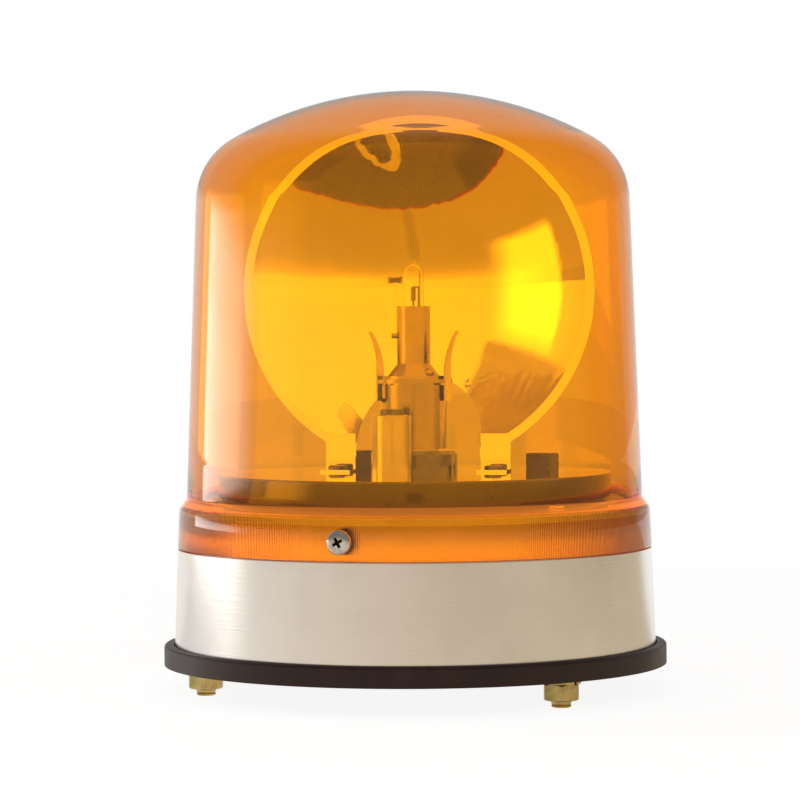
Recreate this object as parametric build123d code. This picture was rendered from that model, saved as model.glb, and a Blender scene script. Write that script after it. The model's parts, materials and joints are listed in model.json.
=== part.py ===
from build123d import *
import math
import os

# Rotating beacon. Millimetres, +Z up. The origin is the centre of the mounting face, the underside
# of the rubber pad, so the studs reach below it. The front of the beacon faces -Y.

# Pressed base shell, open below, with its floor plate: one sheet thickness for both
SHEET = 1.0
BASE_R_BOTTOM = 74.0
BASE_DRAFT = 1.2
LEDGE_Z = 35.5
LEDGE_W = 2.95
NECK_H = 10.5
BASE_EDGE_FILLET = 0.6

# Rubber pad under the base
PAD_RIM_W = 3.2
PAD_FLOOR = 4.0
PAD_RIM_H = 2.2
PAD_RIM_FILLET = 0.9
PAD_FIT = 0.25
PAD_HOLE_MARGIN = 4.0

# Mounting studs, their sleeves, washers and nuts
STUD_INSET = 9.0
STUD_COUNT = 3
STUD_FIRST_AZIMUTH = -49.2
STUD_R = 3.0
THREAD_DEPTH = 0.25
STUD_OVERRUN = 2.1
STUD_FREE_GAP = 0.3
STUD_CHAMFER = 0.5
STUD_FLANGE_W = 3.5
STUD_FLANGE_T = 1.5
STUD_HOLE_CLEARANCE = 0.15
SLEEVE_WALL = 3.1
SLEEVE_FIT = 0.15
WASHER_W = 2.75
WASHER_T = 1.6
WASHER_SPLIT = 0.8
WASHER_SPLIT_TILT = 20.0
NUT_WALL = 2.0
NUT_H = 5.0
NUT_CHAMFER = 0.45

# Cable grommet in the floor
GROMMET_BORE_R = 3.3
GROMMET_WALL = 3.7
GROMMET_FLANGE_W = 2.0
GROMMET_FLANGE_T = 1.2
GROMMET_BEVEL = 0.8

# Amber dome lens
DOME_WALL = 2.5
SKIRT_GAP = 0.3
SKIRT_FIT = 0.25
SKIRT_WALL = 2.8
SKIRT_DRAFT = 0.6
SKIRT_RISE = 2.2
SHOULDER_W = 2.3
SHOULDER_H = 2.8
DOME_DRAFT_ANGLE = 2.16
CROWN_RADIUS = 113.0
CROWN_GAP = 2.8
SHOULDER_FILLET = 22.0

# Screws through the skirt into weld nuts behind the neck
LENS_SCREW_RISE = 5.9
LENS_SCREW_COUNT = 3
LENS_SCREW_FIRST_AZIMUTH = -107.5
LENS_SCREW_R = 2.0
LENS_SCREW_OVERRUN = 2.95
LENS_HEAD_R = 3.65
LENS_HEAD_H = 2.2
LENS_HOLE_CLEARANCE = 0.25
NECK_NUT_W = 8.0
NECK_NUT_H = 6.4
NECK_NUT_T = 3.0

# Lens gasket on top of the neck
GASKET_T = 1.9
GASKET_W = 2.1
GASKET_INSET = 0.1

# Chassis plate on the flange
PLATE_T = 1.4
PLATE_INSET = 3.35
PLATE_SCREW_INSET = 3.3
PLATE_SCREW_COUNT = 3
PLATE_SCREW_FIRST_AZIMUTH = -50.0
PLATE_SCREW_LENGTH = 4.5
SMALL_SCREW_R = 1.5
SMALL_HEAD_R = 2.75
SMALL_HEAD_H = 1.5

# Fixed hollow spindle, its nut, washer and clip
SPINDLE_R = 5.0
SPINDLE_WALL = 2.0
SPINDLE_BELOW_NECK = 8.0
SPINDLE_REACH = 0.6
COLLAR_W = 3.5
COLLAR_T = 2.0
SPINDLE_NUT_WALL = 2.5
SPINDLE_NUT_H = 5.0
THRUST_T = 0.5
THRUST_INSET = 0.3
CLIP_T = 0.8
CLIP_W = 2.3
CLIP_MOUTH = 6.0
CLIP_GROOVE_DEPTH = 0.6
RUNNING_FIT = 0.05
AXIAL_PLAY = 0.3

# Turntable: top plate, rim, hub, internal ring gear and ribs
TABLE_GAP = 6.9
TABLE_RISE = 2.1
TABLE_H = 8.6
TABLE_PLATE_T = 2.5
TABLE_RIM_WALL = 2.2
TABLE_EDGE_FILLET = 0.6
HUB_WALL = 5.95
HUB_H = 7.1
HUB_CHAMFER = 1.1
HUB_SKIRT_WALL = 2.15
BUSH_WALL = 2.4
BUSH_INSET = 0.2
RIB_T = 1.6
RIB_ROOT = 0.4
INNER_RIBS = 8
OUTER_RIBS = 16
INNER_RIB_DEPTH = 3.6
RIB_PINION_GAP = 1.6

# Internal gear pair; the ring gear has as many teeth as fit inside the turntable's rim
GEAR_MODULE = 1.0
PINION_TEETH = 12
PRESSURE_ANGLE = 20.0
BACKLASH = 0.2
RING_ADDENDUM = 0.8
PINION_ADDENDUM = 0.9
DEDENDUM = 1.25
PINION_FLANK_STEPS = 2
RING_FLANK_STEPS = 1
RING_GEAR_WALL = 2.2
RING_GEAR_RIM_GAP = 2.9
RING_GEAR_LIFT = 0.5
PINION_LIFT = 0.5
PINION_H = 4.2

# Motor under the chassis plate
MOTOR_AZIMUTH = 60.0
MOTOR_R = 11.0
MOTOR_H = 24.0
MOTOR_CLEARANCE = 1.0
MOTOR_EDGE_FILLET = 1.0
MOTOR_BOSS_R = 3.0
MOTOR_BOSS_H = 1.2
MOTOR_CAP_INSET = 0.6
MOTOR_CAP_H = 2.5
MOTOR_HUMP_R = 4.0
MOTOR_HUMP_H = 1.2
MOTOR_SHAFT_R = 1.0
MOTOR_SHAFT_INSIDE = 14.0
MOTOR_SHAFT_OVERRUN = 0.2
MOTOR_SCREW_COUNT = 2
MOTOR_SCREW_CIRCLE_R = 7.5
MOTOR_SCREW_R = 1.25
MOTOR_SCREW_HEAD_R = 2.2
MOTOR_SCREW_HEAD_H = 1.3
MOTOR_SCREW_LENGTH = 4.0
BRUSH_TAG_T = 0.6
BRUSH_TAG_W = 2.4
BRUSH_TAG_L = 4.0
BRUSH_TAG_INSET = 3.5

# Terminal block under the chassis plate
TERMINAL_X = -30.0
TERMINAL_Y = 14.0
TERMINAL_L = 18.0
TERMINAL_W = 9.0
TERMINAL_H = 9.0
TERMINAL_FILLET = 1.0
TERMINAL_PITCH = 8.0
TERMINAL_WELL_R = 1.9
TERMINAL_WELL_DEPTH = 4.0
TERMINAL_SCREW_FIT = 0.2
TERMINAL_SCREW_H = 1.8
TERMINAL_SLOT_W = 0.5
TERMINAL_SLOT_DEPTH = 0.6
WIRE_HOLE_R = 1.3

# Everything on the turntable is shown turned by this angle from straight ahead
REST_YAW = -10.0

# Reflector: a polished parabolic dish with a flange, an arched notch and two bent feet
DISH_GAP = 14.5
REFLECTOR_LIFT = 1.3
DISH_T = 0.9
RIM_SETBACK = 6.6
RIM_W = 2.3
RIM_T = 0.9
RIM_LAP = 0.4
FOCUS_RISE = 1.2
NOTCH_GAP = 6.1
NOTCH_RISE = 2.3
FOOT_W = 9.3
FOOT_T = 0.9
FOOT_GAP = 0.25
FOOT_LAP = 2.5
TAB_LENGTH = 9.5
TAB_SCREW_OUT = 6.0
TAB_HOLE_CLEARANCE = 0.1

# Counterweight and its screw
WEIGHT_R = 6.05
WEIGHT_H = 18.6
WEIGHT_GAP = 0.26
WEIGHT_AZIMUTH = 249.8
WEIGHT_CHAMFER = 0.3
WEIGHT_SCREW_R = 2.0
WEIGHT_HEAD_R = 3.5
WEIGHT_HEAD_H = 1.6
WEIGHT_HEAD_ROUNDING = 0.25
WEIGHT_SCREW_DEPTH = 1.8

# Balance blocks, each set in from the turntable's edge
RIGHT_BLOCK_W = 8.6
RIGHT_BLOCK_H = 5.2
RIGHT_BLOCK_INSET = 14.9
RIGHT_BLOCK_AZIMUTH = 27.3
RIGHT_BLOCK_YAW = -30.0
LEFT_BLOCK_W = 12.0
LEFT_BLOCK_H = 6.2
LEFT_BLOCK_INSET = 29.5
LEFT_BLOCK_AZIMUTH = 117.8
LEFT_BLOCK_YAW = 20.0
BLOCK_D = 6.0
BLOCK_FILLET = 0.5

# Lamp tower: insulating base, metal can, holder ring
TOWER_R_BOTTOM = 9.9
TOWER_FLARE = 0.3
TOWER_WALL = 0.6
TOWER_GAP = 0.5
TOP_HOLE_R = 5.0
LAMP_BASE_GAP = 1.1
LAMP_BASE_FIT = 0.1
RING_W = 1.6
RING_T = 1.2
RING_STEP_W = 1.4
RING_STEP_H = 0.6

# Lamp: flange, cone with a solder bead, sleeve, quartz capsule, filament
LAMP_FLANGE_INSET = 1.8
LAMP_FLANGE_T = 1.0
LAMP_CONE_STEP = 2.0
LAMP_CONE_H = 3.8
BEAD_R = 1.4
BEAD_RISE = 1.0
BEAD_AZIMUTH = -49.0
TUBE_GAP = 1.3
TUBE_WALL = 0.6
TUBE_H = 17.7
TUBE_FLOOR_T = 2.0
PIN_RISE = 8.6
PIN_R = 0.8
PIN_REACH = 1.65
PIN_ROOT = 0.2
PINCH_H = 4.0
PINCH_T = 2.4
PINCH_INSET = 0.3
CAPSULE_R = 3.25
CAPSULE_WALL = 0.6
CAPSULE_H = 25.0
CAPSULE_FOOT_T = 3.0
TIP_R = 0.8
TIP_H = 1.2
TIP_ROOT = 0.3
FILAMENT_RISE = 13.4
FILAMENT_H = 4.2
FILAMENT_R = 0.75
FILAMENT_LEG_R = 0.3
FILAMENT_LEG_GAP = 0.6
FILAMENT_BRIDGE_T = 0.5

# Leaf springs that hold the lamp down
SPRING_T = 0.5
SPRING_W = 7.0
SPRING_TIP_W = 2.3
SPRING_GAP = 0.3
SPRING_FOOT_DROP = 4.9
SPRING_BEND_RISE = 4.6
SPRING_TIP_RISE = 17.1
SPRING_TIP_OUT = 3.45
SPRING_YAW = -16.0
SPRING_SLOT_CLEARANCE = 0.5

# Lead from the holder ring into the tower's side
LEAD_R = 0.5
LEAD_AZIMUTH = 206.0
LEAD_OUT = 1.2
LEAD_TOP_GAP = 0.1
LEAD_DROP = 4.8
LEAD_INSIDE = 1.0
LEAD_HOLE_CLEARANCE = 0.3
LEAD_FIT = 0.1

# Worked out from the sizes above: base, pad and studs
BASE_R_TOP = BASE_R_BOTTOM - BASE_DRAFT
NECK_R = BASE_R_TOP - LEDGE_W
NECK_TOP = LEDGE_Z + NECK_H
FLOOR_TOP = PAD_FLOOR + SHEET
FLOOR_R = BASE_R_BOTTOM - SHEET
PAD_R = BASE_R_BOTTOM + PAD_RIM_W
STUD_CIRCLE_R = BASE_R_BOTTOM - STUD_INSET
STUD_CORE_R = STUD_R - THREAD_DEPTH
STUD_HOLE_R = STUD_R + STUD_HOLE_CLEARANCE
SLEEVE_R = STUD_HOLE_R + SLEEVE_WALL
NUT_BOTTOM = -WASHER_T - NUT_H
GROMMET_R = GROMMET_BORE_R + GROMMET_WALL
GROMMET_FLANGE_R = GROMMET_R + GROMMET_FLANGE_W

# Dome lens
SKIRT_BOTTOM = LEDGE_Z + SKIRT_GAP
SKIRT_BORE_R = NECK_R + SKIRT_FIT
SKIRT_R_BOTTOM = SKIRT_BORE_R + SKIRT_WALL
SKIRT_R_TOP = SKIRT_R_BOTTOM - SKIRT_DRAFT
SKIRT_TOP = NECK_TOP + SKIRT_RISE
SHOULDER_R = SKIRT_R_TOP - SHOULDER_W
SHOULDER_TOP = SKIRT_TOP + SHOULDER_H
DOME_INNER_R = SHOULDER_R - DOME_WALL
DOME_SLOPE = math.tan(math.radians(DOME_DRAFT_ANGLE))
LENS_SCREW_Z = LEDGE_Z + LENS_SCREW_RISE
LENS_HOLE_R = LENS_SCREW_R + LENS_HOLE_CLEARANCE
LENS_SCREW_LENGTH = SKIRT_WALL + SKIRT_FIT + SHEET + NECK_NUT_T + LENS_SCREW_OVERRUN

# Chassis and spindle
PLATE_TOP = NECK_TOP + PLATE_T
PLATE_R = NECK_R - PLATE_INSET
PLATE_SCREW_CIRCLE_R = PLATE_R - PLATE_SCREW_INSET
SPINDLE_BORE_R = SPINDLE_R - SPINDLE_WALL
SPINDLE_FIT_R = SPINDLE_R + RUNNING_FIT
COLLAR_R = SPINDLE_R + COLLAR_W
COLLAR_TOP = PLATE_TOP + COLLAR_T
THRUST_TOP = COLLAR_TOP + THRUST_T

# Turntable and bush
TABLE_R = DOME_INNER_R - TABLE_GAP
TABLE_BOTTOM = PLATE_TOP + TABLE_RISE
TABLE_TOP = TABLE_BOTTOM + TABLE_H
TABLE_PLATE_BOTTOM = TABLE_TOP - TABLE_PLATE_T
BUSH_OUTER_R = SPINDLE_FIT_R + BUSH_WALL
BUSH_BOTTOM = THRUST_TOP + AXIAL_PLAY
HUB_R = BUSH_OUTER_R + HUB_WALL
HUB_TOP = TABLE_TOP + HUB_H
HUB_SKIRT_R = BUSH_OUTER_R + HUB_SKIRT_WALL
BUSH_TOP = HUB_TOP - BUSH_INSET
CLIP_BOTTOM = BUSH_TOP + AXIAL_PLAY
CLIP_TOP = CLIP_BOTTOM + CLIP_T

# Gears and motor
RING_GEAR_ROOM = TABLE_R - TABLE_RIM_WALL - RING_GEAR_RIM_GAP - RING_GEAR_WALL
RING_TEETH = 2 * math.floor(RING_GEAR_ROOM / GEAR_MODULE - DEDENDUM)
RING_PITCH_R = GEAR_MODULE * RING_TEETH / 2
RING_ROOT_R = RING_PITCH_R + DEDENDUM * GEAR_MODULE
RING_TIP_R = RING_PITCH_R - RING_ADDENDUM * GEAR_MODULE
RING_GEAR_OUTER_R = RING_ROOT_R + RING_GEAR_WALL
RING_GEAR_BOTTOM = TABLE_BOTTOM + RING_GEAR_LIFT
PINION_PITCH_R = GEAR_MODULE * PINION_TEETH / 2
PINION_TIP_R = PINION_PITCH_R + PINION_ADDENDUM * GEAR_MODULE
PINION_ROOT_R = PINION_PITCH_R - DEDENDUM * GEAR_MODULE
PINION_BOTTOM = RING_GEAR_BOTTOM + PINION_LIFT
MOTOR_ORBIT_R = RING_PITCH_R - PINION_PITCH_R
MOTOR_BOTTOM = NECK_TOP - MOTOR_H
FLANGE_BORE_R = MOTOR_ORBIT_R + MOTOR_R + MOTOR_CLEARANCE

# Reflector: its rim clears the turntable, and its mouth stands behind the beacon's axis
DISH_R = DOME_INNER_R - DISH_GAP
RIM_R = DISH_R + RIM_W
FOCAL_LENGTH = (RIM_SETBACK + math.hypot(RIM_SETBACK, DISH_R)) / 2
DISH_DEPTH = FOCAL_LENGTH - RIM_SETBACK
FOCUS_Z = TABLE_TOP + REFLECTOR_LIFT + RIM_R
DOME_TOP = FOCUS_Z + RIM_R + CROWN_GAP + DOME_WALL
NOTCH_HALF_WIDTH = HUB_R + NOTCH_GAP
FOOT_OFFSET = NOTCH_HALF_WIDTH + FOOT_GAP + FOOT_W / 2
WEIGHT_ORBIT_R = HUB_R + WEIGHT_GAP + WEIGHT_R
WEIGHT_TOP = TABLE_TOP + WEIGHT_H

# Lamp and its tower, from the reflector's focus downwards
FILAMENT_BOTTOM = FOCUS_Z - FOCUS_RISE - FILAMENT_H / 2
FILAMENT_TOP = FILAMENT_BOTTOM + FILAMENT_H
CAPSULE_BOTTOM = FILAMENT_BOTTOM - FILAMENT_RISE
CAPSULE_TOP = CAPSULE_BOTTOM + CAPSULE_H
TUBE_FLOOR = CAPSULE_BOTTOM - PINCH_H
LAMP_CONE_TOP = TUBE_FLOOR - TUBE_FLOOR_T
LAMP_FLANGE_TOP = LAMP_CONE_TOP - LAMP_CONE_H
RING_TOP = LAMP_FLANGE_TOP - LAMP_FLANGE_T
RING_BOTTOM = RING_TOP - RING_T
TOWER_TOP = RING_BOTTOM - RING_STEP_H
TOWER_BOTTOM = HUB_TOP + TOWER_GAP
TOWER_R_TOP = TOWER_R_BOTTOM + TOWER_FLARE
LAMP_BASE_BOTTOM = CLIP_TOP + LAMP_BASE_GAP
LAMP_BASE_TOP = TOWER_TOP - TOWER_WALL
SPINDLE_TOP = LAMP_BASE_BOTTOM + (LAMP_BASE_TOP - LAMP_BASE_BOTTOM) * SPINDLE_REACH
RING_R = TOWER_R_TOP + RING_W
RING_STEP_R = TOWER_R_TOP - RING_STEP_W
LAMP_FLANGE_R = RING_R - LAMP_FLANGE_INSET
LAMP_CONE_R = LAMP_FLANGE_R - LAMP_CONE_STEP
TUBE_BORE_R = CAPSULE_R + TUBE_GAP
TUBE_R = TUBE_BORE_R + TUBE_WALL
SPRING_FOOT_R = TOWER_R_TOP + SPRING_GAP + SPRING_T / 2
SPRING_FOOT_Z = TOWER_TOP - SPRING_FOOT_DROP
SPRING_BEND_Z = TOWER_TOP + SPRING_BEND_RISE
SPRING_TIP_R = SPRING_FOOT_R + SPRING_TIP_OUT
SPRING_TIP_Z = TOWER_TOP + SPRING_TIP_RISE
LEAD_OUT_R = TOWER_R_TOP + LEAD_OUT
LEAD_TOP_Z = RING_BOTTOM - LEAD_TOP_GAP
LEAD_Z = TOWER_TOP - LEAD_DROP
NOTCH_TOP = TOWER_TOP + NOTCH_RISE


def tube(radius, bore, bottom, top):
    """A plain ring about the Z axis."""
    ring = Circle(radius) - Circle(bore)
    return Pos(0, 0, bottom) * extrude(ring, top - bottom)


def rod(radius, bottom, top):
    """A plain cylinder about the Z axis."""
    return Pos(0, 0, bottom) * extrude(Circle(radius), top - bottom)


def turned(*points):
    """A solid of revolution from a closed profile of (radius, height) points."""
    outline = Polyline(*[(r, 0, z) for r, z in points], close=True)
    return revolve(make_face(outline), Axis.Z, 360)


def hexagon_prism(flats, bottom, height, chamfer_size):
    """A hexagonal block with both ends turned back at the corners."""
    block = Pos(0, 0, bottom) * extrude(RegularPolygon(flats / 2, 6, major_radius=False), height)
    corner = flats / math.sqrt(3)
    top = bottom + height
    cone = turned(
        (0, bottom),
        (corner - chamfer_size, bottom),
        (corner, bottom + chamfer_size),
        (corner, top - chamfer_size),
        (corner - chamfer_size, top),
        (0, top),
    )
    return block & cone


def pan_screw(head_r, head_h, shank_r, length, rounding=0.5):
    """A screw whose head sits on Z = 0, rounded by a share of its height, its shank down."""
    head = extrude(Circle(head_r), head_h)
    head = fillet(head.edges().group_by(Axis.Z)[-1], head_h * rounding)
    return head + rod(shank_r, -length, 0)


def ring_of(shape, count, first_azimuth, radius=0.0):
    """Copies of a shape evenly spaced about the Z axis, each moved out and turned to face out."""
    step = 360 / count
    return [Rot(0, 0, first_azimuth + step * k) * Pos(radius, 0, 0) * shape for k in range(count)]


def group(shapes):
    """Several separate solids as one node."""
    return Compound(children=[solid for shape in shapes for solid in shape.solids()])


def facing_out(shape, height):
    """Turns a piece drawn upwards to point out along +X at a height."""
    return Pos(0, 0, height) * Rot(0, 90, 0) * shape


def on_table(shape):
    """Turns a piece that rides on the turntable to its angle at rest."""
    return Rot(0, 0, REST_YAW) * shape


def involute(angle):
    """The involute function of an angle in radians."""
    return math.tan(angle) - angle


def gear_outline(teeth, tip_r, root_r, play, flank_steps):
    """A gear face whose teeth are involute flanks drawn as a few straight steps."""
    pitch_r = GEAR_MODULE * teeth / 2
    pressure = math.radians(PRESSURE_ANGLE)
    base_r = pitch_r * math.cos(pressure)
    half_at_base = math.pi / 2 / teeth + involute(pressure) + play / 2 / pitch_r
    radii = [root_r + (tip_r - root_r) * k / flank_steps for k in range(flank_steps + 1)]
    halves = [half_at_base - involute(math.acos(min(1.0, base_r / r))) for r in radii]
    rising = list(zip(radii, halves))
    points = []
    for tooth in range(teeth):
        middle = 2 * math.pi * tooth / teeth
        for r, half in rising:
            points.append((r * math.cos(middle - half), r * math.sin(middle - half)))
        for r, half in reversed(rising):
            points.append((r * math.cos(middle + half), r * math.sin(middle + half)))
    return make_face(Polyline(*points, close=True))


# Base and its fasteners
def stud_places(shape):
    """Copies of a shape at the mounting studs."""
    return ring_of(shape, STUD_COUNT, STUD_FIRST_AZIMUTH, STUD_CIRCLE_R)


def plate_screw_places(shape):
    """Copies of a shape at the chassis plate's screws."""
    return ring_of(shape, PLATE_SCREW_COUNT, PLATE_SCREW_FIRST_AZIMUTH, PLATE_SCREW_CIRCLE_R)


def lens_screw_places(shape):
    """Copies of a shape, drawn pointing out along +X, at the lens screws."""
    return ring_of(shape, LENS_SCREW_COUNT, LENS_SCREW_FIRST_AZIMUTH)


def make_pad():
    """The moulded rubber pad: a floor, a raised rim round the base shell and clear holes."""
    inner = BASE_R_BOTTOM + PAD_FIT
    hole_r = GROMMET_FLANGE_R + PAD_HOLE_MARGIN
    rim_top = PAD_FLOOR + PAD_RIM_H
    body = turned(
        (hole_r, 0),
        (PAD_R, 0),
        (PAD_R, rim_top),
        (inner, rim_top),
        (inner, PAD_FLOOR),
        (hole_r, PAD_FLOOR),
    )
    edge = body.edges().filter_by(GeomType.CIRCLE).group_by(Axis.Z)[-1].sort_by(SortBy.RADIUS)[-1]
    body = fillet(edge, PAD_RIM_FILLET)
    return body - stud_places(rod(SLEEVE_R + SLEEVE_FIT, 0, PAD_FLOOR))


def make_base_floor():
    """The floor plate, welded in at the foot of the base shell."""
    plate = tube(FLOOR_R, GROMMET_R, PAD_FLOOR, FLOOR_TOP)
    return plate - stud_places(rod(STUD_HOLE_R, PAD_FLOOR, FLOOR_TOP))


def make_base_shell():
    """The pressed steel base: one sheet that forms the wall, ledge, neck and top flange."""
    outline = turned(
        (FLOOR_R, PAD_FLOOR),
        (BASE_R_BOTTOM, PAD_FLOOR),
        (BASE_R_TOP, LEDGE_Z),
        (NECK_R, LEDGE_Z),
        (NECK_R, NECK_TOP),
        (FLANGE_BORE_R, NECK_TOP),
        (FLANGE_BORE_R, NECK_TOP - SHEET),
        (NECK_R - SHEET, NECK_TOP - SHEET),
        (NECK_R - SHEET, LEDGE_Z - SHEET),
        (BASE_R_TOP - SHEET, LEDGE_Z - SHEET),
        (FLOOR_R, FLOOR_TOP),
    )
    circles = outline.edges().filter_by(GeomType.CIRCLE).sort_by(SortBy.RADIUS)
    body = fillet(circles[-2:], BASE_EDGE_FILLET)
    body -= lens_screw_places(facing_out(rod(LENS_HOLE_R, 0, BASE_R_BOTTOM), LENS_SCREW_Z))
    return body - plate_screw_places(rod(SMALL_SCREW_R, NECK_TOP - SHEET, NECK_TOP))


def make_neck_nuts():
    """Weld nuts behind the neck, one for each lens screw."""
    outer = NECK_R - SHEET
    depth = outer - math.sqrt(outer**2 - (NECK_NUT_W / 2) ** 2)
    flat = Box(NECK_NUT_T + depth, NECK_NUT_W, NECK_NUT_H, align=(Align.MAX, Align.CENTER, Align.CENTER))
    nut = (Pos(outer, 0, LENS_SCREW_Z) * flat) & rod(outer, 0, NECK_TOP)
    bore = facing_out(rod(LENS_SCREW_R, 0, outer), LENS_SCREW_Z)
    return group(lens_screw_places(nut - bore))


def make_studs():
    """Flanged weld studs: the thread's core up to the nut, its full radius at the free end."""
    free_start = NUT_BOTTOM - STUD_FREE_GAP
    free_end = NUT_BOTTOM - STUD_OVERRUN
    flange_r = STUD_R + STUD_FLANGE_W
    flange_top = FLOOR_TOP + STUD_FLANGE_T
    stud = turned(
        (0, free_end),
        (STUD_R - STUD_CHAMFER, free_end),
        (STUD_R, free_end + STUD_CHAMFER),
        (STUD_R, free_start),
        (STUD_CORE_R, free_start),
        (STUD_CORE_R, FLOOR_TOP),
        (flange_r, FLOOR_TOP),
        (flange_r, flange_top),
        (0, flange_top),
    )
    return group(stud_places(stud))


def make_sleeves():
    """Steel sleeves in the pad, which carry the clamping load past the rubber."""
    return group(stud_places(tube(SLEEVE_R, STUD_HOLE_R, 0, PAD_FLOOR)))


def make_spring_washers():
    """Split spring washers."""
    outer = STUD_HOLE_R + WASHER_W
    ring = tube(outer, STUD_HOLE_R, -WASHER_T, 0)
    slit = Rot(WASHER_SPLIT_TILT, 0, 0) * Box(2 * outer, WASHER_SPLIT, 3 * WASHER_T)
    return group(stud_places(ring - Pos(outer, 0, -WASHER_T / 2) * slit))


def make_nuts():
    """Hexagon nuts below the spring washers."""
    nut = hexagon_prism(2 * (STUD_R + NUT_WALL), NUT_BOTTOM, NUT_H, NUT_CHAMFER)
    return group(stud_places(nut - rod(STUD_CORE_R, NUT_BOTTOM, NUT_BOTTOM + NUT_H)))


def make_grommet():
    """The rubber cable grommet, held by the floor's central hole and flush with the pad's underside."""
    top = FLOOR_TOP + GROMMET_FLANGE_T
    return turned(
        (GROMMET_BORE_R, 0),
        (GROMMET_FLANGE_R, 0),
        (GROMMET_FLANGE_R, PAD_FLOOR),
        (GROMMET_R, PAD_FLOOR),
        (GROMMET_R, FLOOR_TOP),
        (GROMMET_FLANGE_R, FLOOR_TOP),
        (GROMMET_FLANGE_R - GROMMET_BEVEL, top),
        (GROMMET_BORE_R, top),
    )


# Dome lens and its seal
def wall_crown_corner(wall_r, crown_r):
    """Where a drafted wall meets the crown's arc, before the shoulder is rounded."""
    start = wall_r + DOME_SLOPE * SHOULDER_TOP
    centre = DOME_TOP - CROWN_RADIUS
    a = 1 + DOME_SLOPE**2
    b = -2 * (DOME_SLOPE * start + centre)
    c = start**2 + centre**2 - crown_r**2
    z = (-b + math.sqrt(b**2 - 4 * a * c)) / (2 * a)
    return start - DOME_SLOPE * z, z


def dome_form(inset, skirt_bottom_r, skirt_top_r, skirt_top, shoulder_top):
    """A closed bell: skirt, shoulder, drafted wall and rounded crown, set in from the outside."""
    crown_r = CROWN_RADIUS - inset
    top = DOME_TOP - inset
    centre = DOME_TOP - CROWN_RADIUS
    corner = wall_crown_corner(SHOULDER_R - inset, crown_r)
    half = math.atan2(corner[0], corner[1] - centre) / 2
    middle = (crown_r * math.sin(half), centre + crown_r * math.cos(half))
    straight = Polyline(
        (0, top),
        (0, SKIRT_BOTTOM),
        (skirt_bottom_r, SKIRT_BOTTOM),
        (skirt_top_r, skirt_top),
        (SHOULDER_R - inset, shoulder_top),
        corner,
    )
    crown = ThreePointArc(corner, middle, (0, top))
    face = make_face(straight + crown)
    sharp = face.vertices().sort_by(lambda v: abs(v.X - corner[0]) + abs(v.Y - corner[1]))[0]
    face = fillet(sharp, SHOULDER_FILLET)
    return revolve(Plane.XZ * face, Axis.Z, 360)


def make_dome():
    """The amber dome: one moulding with a drafted wall, a shouldered skirt and a crown."""
    seat = NECK_TOP + GASKET_T
    outside = dome_form(0, SKIRT_R_BOTTOM, SKIRT_R_TOP, SKIRT_TOP, SHOULDER_TOP)
    inside = dome_form(DOME_WALL, SKIRT_BORE_R, SKIRT_BORE_R, seat, seat)
    hole = facing_out(rod(LENS_HOLE_R, NECK_R - SHEET, SKIRT_R_BOTTOM + SHEET), LENS_SCREW_Z)
    return outside - inside - lens_screw_places(hole)


def make_lens_screws():
    """Pan-head screws that hold the dome's skirt to the neck."""
    draft = SKIRT_DRAFT / (SKIRT_TOP - SKIRT_BOTTOM)
    seat_r = SKIRT_R_BOTTOM - draft * (LENS_SCREW_Z - LENS_HEAD_R - SKIRT_BOTTOM)
    screw = pan_screw(LENS_HEAD_R, LENS_HEAD_H, LENS_SCREW_R, LENS_SCREW_LENGTH)
    screw = facing_out(Pos(0, 0, seat_r) * screw, LENS_SCREW_Z)
    return group(lens_screw_places(screw))


def make_lens_gasket():
    """The flat rubber ring between the neck and the dome's inner shoulder."""
    outer = NECK_R - GASKET_INSET
    return tube(outer, outer - GASKET_W, NECK_TOP, NECK_TOP + GASKET_T)


# Chassis, spindle and motor
def at_motor(shape):
    """Moves a piece from the Z axis to the motor's axis."""
    return Rot(0, 0, MOTOR_AZIMUTH) * Pos(MOTOR_ORBIT_R, 0, 0) * shape


def motor_screw_places(shape):
    """Copies of a shape at the motor's screws."""
    return [at_motor(s) for s in ring_of(shape, MOTOR_SCREW_COUNT, 0, MOTOR_SCREW_CIRCLE_R)]


def make_chassis_plate():
    """The round steel plate that carries the spindle and the motor."""
    plate = rod(PLATE_R, NECK_TOP, PLATE_TOP)
    plate -= rod(SPINDLE_FIT_R, NECK_TOP, PLATE_TOP)
    plate -= at_motor(rod(MOTOR_BOSS_R + RUNNING_FIT, NECK_TOP, PLATE_TOP))
    plate -= motor_screw_places(rod(MOTOR_SCREW_R + RUNNING_FIT, NECK_TOP, PLATE_TOP))
    return plate - plate_screw_places(rod(SMALL_SCREW_R + RUNNING_FIT, NECK_TOP, PLATE_TOP))


def make_chassis_screws():
    """Screws that hold the plate to the base shell's flange."""
    screw = pan_screw(SMALL_HEAD_R, SMALL_HEAD_H, SMALL_SCREW_R, PLATE_SCREW_LENGTH)
    return group(plate_screw_places(Pos(0, 0, PLATE_TOP) * screw))


def make_spindle():
    """The fixed hollow spindle with its collar and its clip groove."""
    bottom = NECK_TOP - SPINDLE_BELOW_NECK
    groove_r = SPINDLE_R - CLIP_GROOVE_DEPTH
    return turned(
        (SPINDLE_BORE_R, bottom),
        (SPINDLE_R, bottom),
        (SPINDLE_R, PLATE_TOP),
        (COLLAR_R, PLATE_TOP),
        (COLLAR_R, COLLAR_TOP),
        (SPINDLE_R, COLLAR_TOP),
        (SPINDLE_R, CLIP_BOTTOM),
        (groove_r, CLIP_BOTTOM),
        (groove_r, CLIP_TOP),
        (SPINDLE_R, CLIP_TOP),
        (SPINDLE_R, SPINDLE_TOP),
        (SPINDLE_BORE_R, SPINDLE_TOP),
    )


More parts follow.
